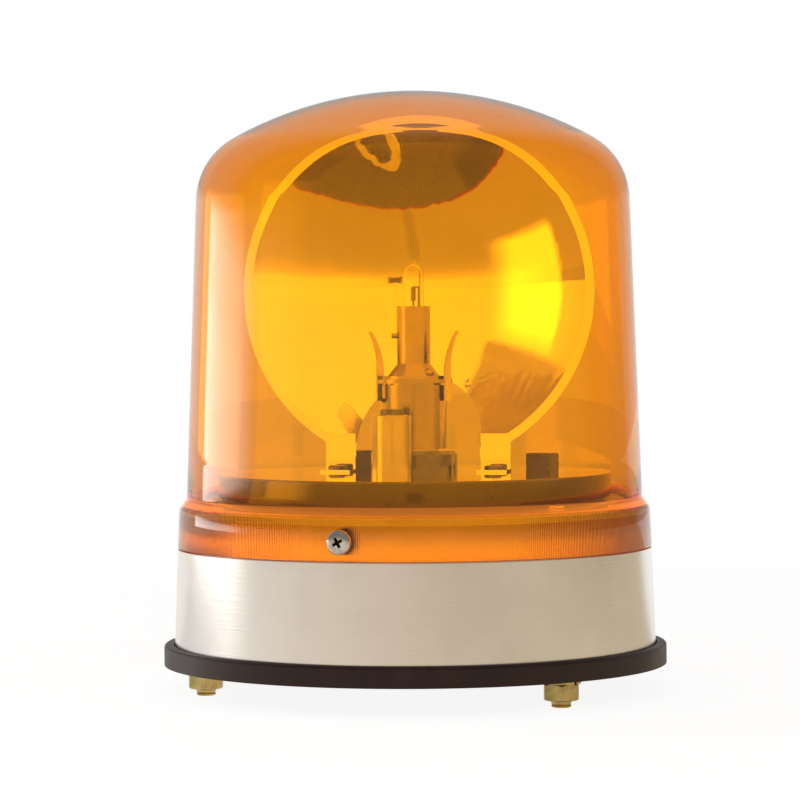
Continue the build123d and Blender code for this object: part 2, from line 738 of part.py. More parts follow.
def make_spindle_nut():
    """The nut under the chassis plate."""
    flats = 2 * (SPINDLE_R + SPINDLE_NUT_WALL)
    nut = hexagon_prism(flats, NECK_TOP - SPINDLE_NUT_H, SPINDLE_NUT_H, NUT_CHAMFER)
    return nut - rod(SPINDLE_R, NECK_TOP - SPINDLE_NUT_H, NECK_TOP)


def make_thrust_washer():
    """The washer between the spindle's collar and the hub bush."""
    return tube(COLLAR_R - THRUST_INSET, SPINDLE_FIT_R, COLLAR_TOP, THRUST_TOP)


def make_clip():
    """The retaining clip in the spindle's groove, open on one side."""
    outer = SPINDLE_R + CLIP_W
    ring = tube(outer, SPINDLE_R - CLIP_GROOVE_DEPTH, CLIP_BOTTOM, CLIP_TOP)
    mouth = Box(CLIP_MOUTH, 2 * outer, 2 * CLIP_T, align=(Align.CENTER, Align.MIN, Align.CENTER))
    return ring - Pos(0, 0, CLIP_BOTTOM) * mouth


def make_motor_can():
    """The motor's steel can with its front boss."""
    can = rod(MOTOR_R, MOTOR_BOTTOM, NECK_TOP)
    can = fillet(can.edges().group_by(Axis.Z)[0], MOTOR_EDGE_FILLET)
    can += rod(MOTOR_BOSS_R, NECK_TOP, NECK_TOP + MOTOR_BOSS_H)
    bore_bottom = NECK_TOP - MOTOR_SHAFT_INSIDE - AXIAL_PLAY
    can -= rod(MOTOR_SHAFT_R + RUNNING_FIT, bore_bottom, NECK_TOP + MOTOR_BOSS_H)
    tapped = rod(MOTOR_SCREW_R, NECK_TOP - MOTOR_SCREW_LENGTH, NECK_TOP)
    return at_motor(can) - motor_screw_places(tapped)


def make_motor_cap():
    """The motor's plastic end cap with its bearing hump and two brush tags."""
    bottom = MOTOR_BOTTOM - MOTOR_CAP_H
    cap = rod(MOTOR_R - MOTOR_CAP_INSET, bottom, MOTOR_BOTTOM)
    cap += rod(MOTOR_HUMP_R, bottom - MOTOR_HUMP_H, bottom)
    tag = Pos(0, 0, bottom - BRUSH_TAG_L / 2) * Box(BRUSH_TAG_T, BRUSH_TAG_W, BRUSH_TAG_L)
    return at_motor(cap + ring_of(tag, 2, 90, MOTOR_R - BRUSH_TAG_INSET))


def make_motor_shaft():
    """The motor shaft, which runs in the can and carries the pinion."""
    top = PINION_BOTTOM + PINION_H + MOTOR_SHAFT_OVERRUN
    return at_motor(rod(MOTOR_SHAFT_R, NECK_TOP - MOTOR_SHAFT_INSIDE, top))


def make_pinion():
    """The drive pinion, in mesh with the turntable's internal ring gear."""
    face = gear_outline(PINION_TEETH, PINION_TIP_R, PINION_ROOT_R, -BACKLASH / 2, PINION_FLANK_STEPS)
    face -= Circle(MOTOR_SHAFT_R)
    return at_motor(Pos(0, 0, PINION_BOTTOM) * extrude(face, PINION_H))


def make_motor_screws():
    """Screws through the chassis plate into the motor's front."""
    screw = pan_screw(MOTOR_SCREW_HEAD_R, MOTOR_SCREW_HEAD_H, MOTOR_SCREW_R, MOTOR_SCREW_LENGTH)
    return group(motor_screw_places(Pos(0, 0, PLATE_TOP) * screw))


# Terminal block
def pole_places(shape):
    """Copies of a shape at the terminal block's two poles, with the block's underside as Z = 0."""
    bottom = NECK_TOP - TERMINAL_H
    offsets = [-TERMINAL_PITCH / 2, TERMINAL_PITCH / 2]
    return [Pos(TERMINAL_X + offset, TERMINAL_Y, bottom) * shape for offset in offsets]


def make_terminal_block():
    """The two-pole terminal block, fixed to the underside of the chassis plate."""
    block = Box(TERMINAL_L, TERMINAL_W, TERMINAL_H, align=(Align.CENTER, Align.CENTER, Align.MAX))
    block = fillet(block.edges().filter_by(Axis.Z), TERMINAL_FILLET)
    block = Pos(TERMINAL_X, TERMINAL_Y, NECK_TOP) * block
    wire_z = TERMINAL_WELL_DEPTH + TERMINAL_WELL_R
    wire_hole = Pos(0, 0, wire_z) * Rot(90, 0, 0) * rod(WIRE_HOLE_R, -TERMINAL_W, TERMINAL_W)
    block -= pole_places(rod(TERMINAL_WELL_R, 0, TERMINAL_WELL_DEPTH))
    return block - pole_places(wire_hole)


def make_terminal_screws():
    """Clamp screws at the foot of the terminal block's wells."""
    radius = TERMINAL_WELL_R - TERMINAL_SCREW_FIT
    foot = TERMINAL_WELL_DEPTH - TERMINAL_SCREW_H
    slot = Pos(0, 0, foot) * Box(2 * radius, TERMINAL_SLOT_W, 2 * TERMINAL_SLOT_DEPTH)
    return group(pole_places(rod(radius, foot, TERMINAL_WELL_DEPTH) - slot))


# Turntable and what rides on it
def tab_places(shape):
    """Copies of a shape at the screws of the reflector's two tabs."""
    y = RIM_SETBACK - TAB_SCREW_OUT
    return [on_table(Pos(side * FOOT_OFFSET, y, 0) * shape) for side in (-1, 1)]


def at_weight(shape):
    """Moves a piece from the Z axis to the counterweight's place."""
    return Rot(0, 0, WEIGHT_AZIMUTH) * Pos(WEIGHT_ORBIT_R, 0, 0) * shape


def rib(start, end, depth):
    """A radial rib under the turntable's plate, from one radius to another."""
    block = Box(end - start, RIB_T, depth, align=(Align.MIN, Align.CENTER, Align.MAX))
    return Pos(start, 0, TABLE_PLATE_BOTTOM) * block


def make_turntable():
    """The moulded turntable: plate, rim, hub, ribs and an internal ring gear under the rim."""
    rim_inner_r = TABLE_R - TABLE_RIM_WALL
    outline = turned(
        (BUSH_OUTER_R, BUSH_BOTTOM),
        (HUB_SKIRT_R, BUSH_BOTTOM),
        (HUB_SKIRT_R, TABLE_PLATE_BOTTOM),
        (rim_inner_r, TABLE_PLATE_BOTTOM),
        (rim_inner_r, TABLE_BOTTOM),
        (TABLE_R, TABLE_BOTTOM),
        (TABLE_R, TABLE_TOP),
        (HUB_R, TABLE_TOP),
        (HUB_R, HUB_TOP - HUB_CHAMFER),
        (HUB_R - HUB_CHAMFER, HUB_TOP),
        (BUSH_OUTER_R, HUB_TOP),
    )
    circles = outline.edges().filter_by(GeomType.CIRCLE).sort_by(SortBy.RADIUS)
    body = fillet(circles[-2:], TABLE_EDGE_FILLET)
    gaps = gear_outline(RING_TEETH, RING_ROOT_R, RING_TIP_R, BACKLASH / 2, RING_FLANK_STEPS)
    gear_depth = TABLE_PLATE_BOTTOM - RING_GEAR_BOTTOM
    gear = Pos(0, 0, RING_GEAR_BOTTOM) * extrude(Circle(RING_GEAR_OUTER_R) - gaps, gear_depth)
    gear = Rot(0, 0, MOTOR_AZIMUTH) * gear
    inner_end = MOTOR_ORBIT_R - PINION_TIP_R - RIB_PINION_GAP
    inner_rib = rib(HUB_SKIRT_R - RIB_ROOT, inner_end, INNER_RIB_DEPTH)
    outer_rib = rib(RING_GEAR_OUTER_R - RIB_ROOT, rim_inner_r + RIB_ROOT, gear_depth)
    body += [gear] + ring_of(inner_rib, INNER_RIBS, 0) + ring_of(outer_rib, OUTER_RIBS, 0)
    body -= tab_places(rod(SMALL_SCREW_R, TABLE_PLATE_BOTTOM, TABLE_TOP))
    return body - at_weight(rod(WEIGHT_SCREW_R, TABLE_TOP - WEIGHT_SCREW_DEPTH, TABLE_TOP))


def make_bush():
    """The sintered bush in the turntable's hub, running on the spindle."""
    return tube(BUSH_OUTER_R, SPINDLE_FIT_R, BUSH_BOTTOM, BUSH_TOP)


def dish_profile(shift):
    """Half of the dish's section, an exact parabola with its vertex at zero and its mouth at +Y."""
    return Bezier((0, shift), (DISH_R / 2, shift), (DISH_R, DISH_DEPTH + shift))


def make_foot(side):
    """One foot of the reflector: a strip up to the rim and a bent tab with its screw hole."""
    rim_z = FOCUS_Z - math.sqrt(RIM_R**2 - (FOOT_OFFSET + FOOT_W / 2) ** 2)
    height = rim_z + FOOT_LAP - TABLE_TOP
    strip = Box(FOOT_W, FOOT_T, height, align=(Align.CENTER, Align.MIN, Align.MIN))
    tab = Box(FOOT_W, TAB_LENGTH + FOOT_T, FOOT_T, align=(Align.CENTER, Align.MIN, Align.MIN))
    foot = strip + Pos(0, -TAB_LENGTH, 0) * tab
    hole = Pos(0, -TAB_SCREW_OUT, 0) * rod(SMALL_SCREW_R + TAB_HOLE_CLEARANCE, 0, FOOT_T)
    return Pos(side * FOOT_OFFSET, RIM_SETBACK, TABLE_TOP) * (foot - hole)


def make_reflector():
    """The polished dish with its rim flange, arched notch, two feet and their bent tabs."""
    inside = dish_profile(0)
    outside = dish_profile(-DISH_T)
    joins = [Line(inside @ 0, outside @ 0), Line(inside @ 1, outside @ 1)]
    dish = revolve(make_face(Curve() + [inside, outside] + joins), Axis.Y, 360)
    rim = Circle(RIM_R) - Circle(DISH_R - RIM_LAP)
    dish += Pos(0, DISH_DEPTH, 0) * Rot(90, 0, 0) * extrude(rim, RIM_T)
    dish = Pos(0, FOCAL_LENGTH, FOCUS_Z) * Rot(0, 0, 180) * dish
    spring_z = NOTCH_TOP - NOTCH_HALF_WIDTH
    arch = Rectangle(2 * NOTCH_HALF_WIDTH, spring_z, align=(Align.CENTER, Align.MIN))
    arch += Pos(0, spring_z) * Circle(NOTCH_HALF_WIDTH)
    dish -= Pos(0, FOCAL_LENGTH, 0) * Rot(90, 0, 0) * extrude(arch, FOCAL_LENGTH)
    return on_table(dish + [make_foot(-1), make_foot(1)])


def make_reflector_screws():
    """Screws that hold the reflector's tabs to the turntable."""
    screw = pan_screw(SMALL_HEAD_R, SMALL_HEAD_H, SMALL_SCREW_R, FOOT_T + TABLE_PLATE_T)
    return group(tab_places(Pos(0, 0, TABLE_TOP + FOOT_T) * screw))


def make_counterweight():
    """The turned brass counterweight that balances the reflector."""
    body = rod(WEIGHT_R, TABLE_TOP, WEIGHT_TOP)
    body = chamfer(body.edges().group_by(Axis.Z)[-1], WEIGHT_CHAMFER)
    return at_weight(body - rod(WEIGHT_SCREW_R, TABLE_TOP, WEIGHT_TOP))


def make_weight_screw():
    """The long screw down through the counterweight."""
    length = WEIGHT_H + WEIGHT_SCREW_DEPTH
    screw = pan_screw(WEIGHT_HEAD_R, WEIGHT_HEAD_H, WEIGHT_SCREW_R, length, WEIGHT_HEAD_ROUNDING)
    return at_weight(Pos(0, 0, WEIGHT_TOP) * screw)


def balance_block(width, height, inset, azimuth, yaw):
    """A small block on the turntable, set in from its edge and turned by a yaw."""
    block = Box(width, BLOCK_D, height, align=(Align.CENTER, Align.CENTER, Align.MIN))
    block = fillet(block.edges().group_by(Axis.Z)[-1], BLOCK_FILLET)
    place = Rot(0, 0, azimuth) * Pos(TABLE_R - inset, 0, TABLE_TOP)
    return place * Rot(0, 0, yaw - azimuth) * block


def make_balance_blocks():
    """The two small black blocks that trim the turntable's balance."""
    right = balance_block(
        RIGHT_BLOCK_W, RIGHT_BLOCK_H, RIGHT_BLOCK_INSET, RIGHT_BLOCK_AZIMUTH, RIGHT_BLOCK_YAW
    )
    left = balance_block(
        LEFT_BLOCK_W, LEFT_BLOCK_H, LEFT_BLOCK_INSET, LEFT_BLOCK_AZIMUTH, LEFT_BLOCK_YAW
    )
    return group([right, left])


# Lamp tower and lamp
def lead_hole(radius):
    """The hole in the tower's side where the lead goes in."""
    return Rot(0, 0, LEAD_AZIMUTH) * facing_out(rod(radius, 0, RING_R), LEAD_Z)


def make_lamp_base():
    """The insulating base on the spindle's top, inside the metal can."""
    outer = TOWER_R_BOTTOM - TOWER_WALL - LAMP_BASE_FIT
    body = turned(
        (SPINDLE_R, LAMP_BASE_BOTTOM),
        (outer, LAMP_BASE_BOTTOM),
        (outer, LAMP_BASE_TOP),
        (SPINDLE_BORE_R, LAMP_BASE_TOP),
        (SPINDLE_BORE_R, SPINDLE_TOP),
        (SPINDLE_R, SPINDLE_TOP),
    )
    return body - lead_hole(LEAD_R + LEAD_FIT)


def make_tower():
    """The drawn metal can of the lamp tower, closed at the top but for a central hole."""
    body = turned(
        (TOWER_R_BOTTOM - TOWER_WALL, TOWER_BOTTOM),
        (TOWER_R_BOTTOM, TOWER_BOTTOM),
        (TOWER_R_TOP, TOWER_TOP),
        (TOP_HOLE_R, TOWER_TOP),
        (TOP_HOLE_R, TOWER_TOP - TOWER_WALL),
        (TOWER_R_TOP - TOWER_WALL, TOWER_TOP - TOWER_WALL),
    )
    return body - lead_hole(LEAD_R + LEAD_HOLE_CLEARANCE)


def at_spring(shape, side):
    """Places a piece drawn at +X at one of the two leaf springs."""
    return Rot(0, 0, SPRING_YAW + (0 if side > 0 else 180)) * shape


def make_holder_ring():
    """The ring that the lamp's flange sits on, notched for the two springs."""
    body = turned(
        (TOP_HOLE_R, TOWER_TOP),
        (RING_STEP_R, TOWER_TOP),
        (RING_STEP_R, RING_BOTTOM),
        (RING_R, RING_BOTTOM),
        (RING_R, RING_TOP),
        (TOP_HOLE_R, RING_TOP),
    )
    width = SPRING_W + 2 * SPRING_SLOT_CLEARANCE
    slot = Box(RING_R, width, 2 * RING_T, align=(Align.MIN, Align.CENTER, Align.CENTER))
    slot_start = SPRING_FOOT_R - SPRING_T / 2 - SPRING_SLOT_CLEARANCE
    slot = Pos(slot_start, 0, RING_TOP) * slot
    return body - [at_spring(slot, side) for side in (1, -1)]


def make_spring(side):
    """A leaf spring: a straight foot beside the tower, then a bowed, tapering tongue."""
    bend = (SPRING_FOOT_R, SPRING_BEND_Z)
    foot = Line((SPRING_FOOT_R, SPRING_FOOT_Z), bend)
    tongue = TangentArc(bend, (SPRING_TIP_R, SPRING_TIP_Z), tangent=(0, 1))
    strip = offset(Curve() + [foot, tongue], SPRING_T / 2, side=Side.BOTH, closed=True)
    leaf = extrude(Plane.XZ * make_face(strip), SPRING_W / 2, both=True)
    taper_end = SPRING_TIP_Z - SPRING_T
    outline = Polyline(
        (-SPRING_W / 2, SPRING_FOOT_Z),
        (SPRING_W / 2, SPRING_FOOT_Z),
        (SPRING_W / 2, SPRING_BEND_Z),
        (SPRING_TIP_W / 2, taper_end),
        (-SPRING_TIP_W / 2, taper_end),
        (-SPRING_W / 2, SPRING_BEND_Z),
        close=True,
    )
    mask = extrude(Plane.YZ * make_face(outline), 2 * SPRING_TIP_R)
    return at_spring(leaf & mask, side)


def make_lamp_cap():
    """The lamp's metal flange, its cone with a solder bead, and the sleeve with its pin."""
    body = turned(
        (0, RING_TOP),
        (LAMP_FLANGE_R, RING_TOP),
        (LAMP_FLANGE_R, LAMP_FLANGE_TOP),
        (LAMP_CONE_R, LAMP_FLANGE_TOP),
        (TUBE_R, LAMP_CONE_TOP),
        (TUBE_R, LAMP_CONE_TOP + TUBE_H),
        (TUBE_BORE_R, LAMP_CONE_TOP + TUBE_H),
        (TUBE_BORE_R, TUBE_FLOOR),
        (0, TUBE_FLOOR),
    )
    pin = Rot(0, 0, 180) * facing_out(
        rod(PIN_R, TUBE_R - PIN_ROOT, TUBE_R + PIN_REACH), LAMP_CONE_TOP + PIN_RISE
    )
    bead_r = LAMP_CONE_R - (LAMP_CONE_R - TUBE_R) * BEAD_RISE / LAMP_CONE_H
    bead = Rot(0, 0, BEAD_AZIMUTH) * Pos(bead_r, 0, LAMP_FLANGE_TOP + BEAD_RISE) * Sphere(BEAD_R)
    bead &= rod(LAMP_FLANGE_R, RING_TOP, LAMP_CONE_TOP)
    return body + pin + bead


def make_capsule():
    """The quartz capsule: a thin tube with a domed end, a tip and a solid pinched foot."""
    dome_z = CAPSULE_TOP - CAPSULE_R
    inner_r = CAPSULE_R - CAPSULE_WALL
    body = rod(CAPSULE_R, CAPSULE_BOTTOM, dome_z) + Pos(0, 0, dome_z) * Sphere(CAPSULE_R)
    body += rod(TIP_R, CAPSULE_TOP - TIP_ROOT, CAPSULE_TOP + TIP_H)
    pinch = Box(2 * (CAPSULE_R - PINCH_INSET), PINCH_T, PINCH_H)
    body += Pos(0, 0, CAPSULE_BOTTOM - PINCH_H / 2) * pinch
    hollow = rod(inner_r, CAPSULE_BOTTOM + CAPSULE_FOOT_T, dome_z)
    return body - (hollow + Pos(0, 0, dome_z) * Sphere(inner_r))


def make_filament():
    """The coiled filament, as its outer shape, on two straight legs."""
    foot_z = CAPSULE_BOTTOM + CAPSULE_FOOT_T
    coil = rod(FILAMENT_R, FILAMENT_BOTTOM, FILAMENT_TOP)
    near = rod(FILAMENT_LEG_R, foot_z, FILAMENT_BOTTOM)
    far_x = FILAMENT_R + FILAMENT_LEG_GAP + FILAMENT_LEG_R
    far = Pos(far_x, 0, 0) * rod(FILAMENT_LEG_R, foot_z, FILAMENT_TOP)
    bridge = Box(far_x + FILAMENT_LEG_R, FILAMENT_BRIDGE_T, FILAMENT_BRIDGE_T)
    return coil + near + far + Pos(far_x / 2, 0, FILAMENT_TOP) * bridge


def make_lead():
    """The short lead from the holder ring down into the tower's side."""
    route = FilletPolyline(
        (LEAD_OUT_R, LEAD_TOP_Z),
        (LEAD_OUT_R, LEAD_Z),
        (TOWER_R_BOTTOM - TOWER_WALL - LEAD_INSIDE, LEAD_Z),
        radius=LEAD_OUT_R - TOWER_R_BOTTOM,
    )
    route = Plane.XZ * route
    section = Plane(origin=route @ 0, z_dir=route % 0) * Circle(LEAD_R)
    return Rot(0, 0, LEAD_AZIMUTH) * sweep(section, route)


NODES = {
    "rubber_pad": make_pad,
    "base_floor": make_base_floor,
    "base_shell": make_base_shell,
    "neck_nuts": make_neck_nuts,
    "mounting_studs": make_studs,
    "stud_sleeves": make_sleeves,
    "spring_washers": make_spring_washers,
    "mounting_nuts": make_nuts,
    "cable_grommet": make_grommet,
    "dome_lens": make_dome,
    "lens_screws": make_lens_screws,
    "lens_gasket": make_lens_gasket,
    "chassis_plate": make_chassis_plate,
    "chassis_screws": make_chassis_screws,
    "spindle": make_spindle,
    "spindle_nut": make_spindle_nut,
    "thrust_washer": make_thrust_washer,
    "retaining_clip": make_clip,
    "motor_can": make_motor_can,
    "motor_end_cap": make_motor_cap,
    "motor_shaft": make_motor_shaft,
    "drive_pinion": make_pinion,
    "motor_screws": make_motor_screws,
    "terminal_block": make_terminal_block,
    "terminal_screws": make_terminal_screws,
    "turntable": make_turntable,
    "hub_bush": make_bush,
    "reflector": make_reflector,
    "reflector_screws": make_reflector_screws,
    "counterweight": make_counterweight,
    "counterweight_screw": make_weight_screw,
    "balance_blocks": make_balance_blocks,
    "lamp_base": make_lamp_base,
    "lamp_tower": make_tower,
    "holder_ring": make_holder_ring,
    "left_spring": lambda: make_spring(-1),
    "right_spring": lambda: make_spring(1),
    "lamp_cap": make_lamp_cap,
    "lamp_capsule": make_capsule,
    "lamp_filament": make_filament,
    "lamp_lead": make_lead,
}

os.makedirs("parts", exist_ok=True)
for node, make in NODES.items():
    shape = make()
    shape.label = node
    export_step(shape, f"parts/{node}.step")
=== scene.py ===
"""Dresses an amber rotating beacon: its looks, its studio and its camera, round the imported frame.

Lengths are in millimetres in the classes and are turned to metres where a mesh is made. +Z is up,
the front of the beacon faces -Y, and the origin is the centre of the pad's underside.
"""

import json
import logging
import math
from dataclasses import dataclass
from enum import Enum
from typing import Optional, Sequence

import bpy
from mathutils import Matrix, Vector

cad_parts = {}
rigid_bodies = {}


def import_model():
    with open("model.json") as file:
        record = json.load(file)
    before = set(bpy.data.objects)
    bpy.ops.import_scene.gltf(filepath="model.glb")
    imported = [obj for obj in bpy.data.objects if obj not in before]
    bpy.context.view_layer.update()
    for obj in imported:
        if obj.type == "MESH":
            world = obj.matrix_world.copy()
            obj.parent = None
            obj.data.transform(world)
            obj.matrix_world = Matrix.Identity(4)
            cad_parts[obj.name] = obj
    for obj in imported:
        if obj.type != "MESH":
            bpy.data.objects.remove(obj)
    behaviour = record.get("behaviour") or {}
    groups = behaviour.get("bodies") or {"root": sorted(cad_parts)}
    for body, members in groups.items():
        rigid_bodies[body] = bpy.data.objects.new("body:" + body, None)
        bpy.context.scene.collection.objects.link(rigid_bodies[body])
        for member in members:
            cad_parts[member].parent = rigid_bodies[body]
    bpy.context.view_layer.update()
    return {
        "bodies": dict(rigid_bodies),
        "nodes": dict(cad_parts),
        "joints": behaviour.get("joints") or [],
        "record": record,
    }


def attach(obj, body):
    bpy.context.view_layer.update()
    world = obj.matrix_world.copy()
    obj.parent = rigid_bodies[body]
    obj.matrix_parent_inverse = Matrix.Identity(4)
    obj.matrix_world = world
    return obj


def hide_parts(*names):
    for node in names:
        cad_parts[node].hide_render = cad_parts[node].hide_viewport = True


MM = 0.001
SHARP_ANGLE = math.radians(32.0)
MERGE_GAP = MM * 0.001
GRAIN_HEIGHT = 0.0002

Colour = tuple[float, float, float]
Point = tuple[float, float]
Place = tuple[float, float, float]

# A soft rise: where it starts and where it ends
Rise = tuple[float, float]

# A soft change of level: where it starts, where it ends, the level before it and the level after it
Span = tuple[float, float, float, float]

# A band with soft ends: where it starts, where it ends and how far each end fades
Band = tuple[float, float, float]

WHITE: Colour = (1.0, 1.0, 1.0)
BLACK: Colour = (0.0, 0.0, 0.0)

log = logging.getLogger("beacon")


class Axis(Enum):
    """The upright axis that a finish's turned lines run round, by its x and y in millimetres."""

    BEACON = (0.0, 0.0)
    WEIGHT = (-6.81, -18.50)
    MOTOR = (23.0, 39.84)


# Node trees
class Desk:
    """Lays out one node tree: adds nodes, sets their inputs and joins them."""

    def __init__(self, tree: bpy.types.NodeTree) -> None:
        """Starts on a tree.

        Args:
            tree: the node tree to lay out.
        """
        self.tree = tree
        self.column = 0

    def add(self, kind: str, inputs: Optional[dict] = None, **settings) -> bpy.types.Node:
        """Adds a node.

        Args:
            kind: the node's type name, without its ShaderNode part.
            inputs: values or output sockets by input name or number.
            settings: properties of the node itself.

        Returns:
            The new node.
        """
        node = self.tree.nodes.new("ShaderNode" + kind)
        across, down, rows = 180.0, -40.0, 5
        node.location = (across * self.column, down * (self.column % rows))
        self.column += 1
        for name, value in settings.items():
            setattr(node, name, value)
        for name, value in (inputs or {}).items():
            self.feed(node.inputs[name], value)
        return node

    def feed(self, socket: bpy.types.NodeSocket, value: object) -> None:
        """Sets an input, or joins it to an output.

        Args:
            socket: the input.
            value: an output socket, a colour, a vector or a number.
        """
        if isinstance(value, bpy.types.NodeSocket):
            self.tree.links.new(value, socket)
        elif socket.type == "RGBA" and len(value) == 3:
            socket.default_value = (*value, 1.0)
        else:
            socket.default_value = value

    def maths(self, operation: str, *values: object) -> bpy.types.NodeSocket:
        """Adds a Math node.

        Args:
            operation: the sum that it does.
            values: its inputs in order.

        Returns:
            Its output.
        """
        node = self.add("Math", dict(enumerate(values)), operation=operation)
        return node.outputs[0]

    def rise(
        self, value: object, start: float, end: float, low: float = 0.0, high: float = 1.0
    ) -> bpy.types.NodeSocket:
        """A soft rise from one level to another.

        Args:
            value: what it follows.
            start: where the rise starts.
            end: where it ends.
            low: the level before it.
            high: the level after it.

        Returns:
            The level.
        """
        limits = {"Value": value, "From Min": start, "From Max": end, "To Min": low, "To Max": high}
        return self.add("MapRange", limits, interpolation_type="SMOOTHSTEP").outputs[0]

    def window(
        self, value: object, start: float, end: float, soft: float, soft_end: Optional[float] = None
    ) -> bpy.types.NodeSocket:
        """One inside a range and nought outside it, with soft ends.

        Args:
            value: what it follows.
            start: the range's start.
            end: the range's end.
            soft: how far each end fades, to both sides.
            soft_end: the same for the far end, where it differs.

        Returns:
            The share.
        """
        last = soft if soft_end is None else soft_end
        after = self.rise(value, start - soft, start + soft)
        before = self.rise(value, end - last, end + last, 1.0, 0.0)
        return self.maths("MULTIPLY", after, before)

    def blend(self, share: object, low: object, high: object) -> bpy.types.NodeSocket:
        """Blends two colours.

        Args:
            share: how much of the second colour shows.
            low: the first colour.
            high: the second colour.

        Returns:
            The blended colour.
        """
        node = self.add("Mix", data_type="RGBA")
        factor, first, second, mixed = 0, 6, 7, 2
        self.feed(node.inputs[factor], share)
        self.feed(node.inputs[first], low)
        self.feed(node.inputs[second], high)
        return node.outputs[mixed]

    def split(self, vector: bpy.types.NodeSocket) -> tuple[bpy.types.NodeSocket, ...]:
        """The x, y and z of a vector."""
        return tuple(self.add("SeparateXYZ", {0: vector}).outputs)

    def reach(self, x: bpy.types.NodeSocket, y: bpy.types.NodeSocket) -> bpy.types.NodeSocket:
        """How far a spot at x and y lies from the Z axis."""
        return self.maths("SQRT", self.maths("MULTIPLY_ADD", x, x, self.maths("MULTIPLY", y, y)))


def new_group(name: str, takes: dict[str, str], gives: dict[str, str]) -> tuple[Desk, dict, dict]:
    """Starts a node group with named inputs and outputs.

    Args:
        name: the group's name.
        takes: input names and their kinds.
        gives: output names and their kinds.

    Returns:
        The desk on its tree, its input sockets and its output sockets by name.
    """
    tree = bpy.data.node_groups.new(name, "ShaderNodeTree")
    for key, kind in takes.items():
        tree.interface.new_socket(name=key, in_out="INPUT", socket_type="NodeSocket" + kind)
    for key, kind in gives.items():
        tree.interface.new_socket(name=key, in_out="OUTPUT", socket_type="NodeSocket" + kind)
    start = tree.nodes.new("NodeGroupInput")
    end = tree.nodes.new("NodeGroupOutput")
    sources = {key: start.outputs[key] for key in takes}
    sinks = {key: end.inputs[key] for key in gives}
    return Desk(tree), sources, sinks


class Effects:
    """The shared effects: turned lines, moulded grain, handling marks and flutes."""

    def __init__(self) -> None:
        """Builds each effect's group once."""
        self.lines = self.turned_lines()
        self.grain = self.moulded_grain()
        self.marks = self.handling_marks()
        self.flutes = self.skirt_flutes()

    @staticmethod
    def turned_lines() -> bpy.types.NodeTree:
        """Fine lines that run round an axis, as a lathe or a polishing belt leaves them.

        Returns:
            The group.
        """
        takes = {"Vector": "Vector", "Lines": "Float", "Drift": "Float"}
        desk, take, give = new_group("TurnedLines", takes, {"Height": "Float", "Tone": "Float"})
        x, y, z = desk.split(take["Vector"])
        radius = desk.reach(x, y)
        turn = desk.maths("ARCTAN2", y, x)
        around = desk.maths("MULTIPLY", desk.maths("COSINE", turn), take["Drift"])
        across = desk.maths("MULTIPLY", radius, take["Lines"])
        along = desk.maths("MULTIPLY", z, take["Lines"])
        place = desk.add("CombineXYZ", {0: across, 1: along, 2: around}).outputs[0]
        fine = desk.add("TexNoise", {"Vector": place, "Scale": 1.0, "Detail": 3.0, "Roughness": 0.7})
        broad = desk.add("TexNoise", {"Vector": place, "Scale": 0.14, "Detail": 2.0})
        desk.feed(give["Height"], fine.outputs["Fac"])
        desk.feed(give["Tone"], broad.outputs["Fac"])
        return desk.tree

    @staticmethod
    def moulded_grain() -> bpy.types.NodeTree:
        """The fine even grain of moulded rubber and plastic.

        Returns:
            The group.
        """
        takes = {"Vector": "Vector", "Scale": "Float"}
        desk, take, give = new_group("MouldedGrain", takes, {"Height": "Float", "Mask": "Float"})
        inputs = {"Vector": take["Vector"], "Scale": take["Scale"], "Detail": 2.0, "Roughness": 0.55}
        grain = desk.add("TexNoise", inputs)
        coarser = 0.03
        wide = desk.maths("MULTIPLY", take["Scale"], coarser)
        cloud = desk.add("TexNoise", {"Vector": take["Vector"], "Scale": wide, "Detail": 3.0})
        desk.feed(give["Height"], grain.outputs["Fac"])
        desk.feed(give["Mask"], cloud.outputs["Fac"])
        return desk.tree

    @staticmethod
    def handling_marks() -> bpy.types.NodeTree:
        """Soft smudges and dust that change the gloss from place to place.

        Returns:
            The group.
        """
        takes = {"Vector": "Vector", "Scale": "Float", "Low": "Float", "High": "Float"}
        desk, take, give = new_group("HandlingMarks", takes, {"Roughness": "Float", "Mask": "Float"})
        inputs = {"Vector": take["Vector"], "Scale": take["Scale"], "Detail": 4.0, "Roughness": 0.6}
        smudge = desk.add("TexNoise", inputs)
        limits = {"Value": smudge.outputs["Fac"], "From Min": 0.35, "From Max": 0.7}
        limits.update({"To Min": take["Low"], "To Max": take["High"]})
        spread = desk.add("MapRange", limits)
        mask = desk.add("MapRange", {"Value": smudge.outputs["Fac"], "From Min": 0.45, "From Max": 0.65})
        desk.feed(give["Roughness"], spread.outputs[0])
        desk.feed(give["Mask"], mask.outputs[0])
        return desk.tree

    @staticmethod
    def skirt_flutes() -> bpy.types.NodeTree:
        """Upright flutes round the beacon's axis, between two heights and inside a radius.

        Returns:
            The group.
        """
        takes = {"Vector": "Vector", "Count": "Float", "Bottom": "Float", "Top": "Float", "Radius": "Float"}
        desk, take, give = new_group("SkirtFlutes", takes, {"Height": "Float", "Mask": "Float"})
        x, y, z = desk.split(take["Vector"])
        radius = desk.reach(x, y)
        turn = desk.maths("MULTIPLY", desk.maths("ARCTAN2", y, x), take["Count"])
        wave = desk.maths("MULTIPLY_ADD", desk.maths("COSINE", turn), 0.5, 0.5)
        above = desk.maths("GREATER_THAN", z, take["Bottom"])
        below = desk.maths("LESS_THAN", z, take["Top"])
        inside = desk.maths("LESS_THAN", radius, take["Radius"])
        mask = desk.maths("MULTIPLY", desk.maths("MULTIPLY", above, below), inside)
        desk.feed(give["Height"], desk.maths("MULTIPLY", wave, mask))
        desk.feed(give["Mask"], mask)
        return desk.tree


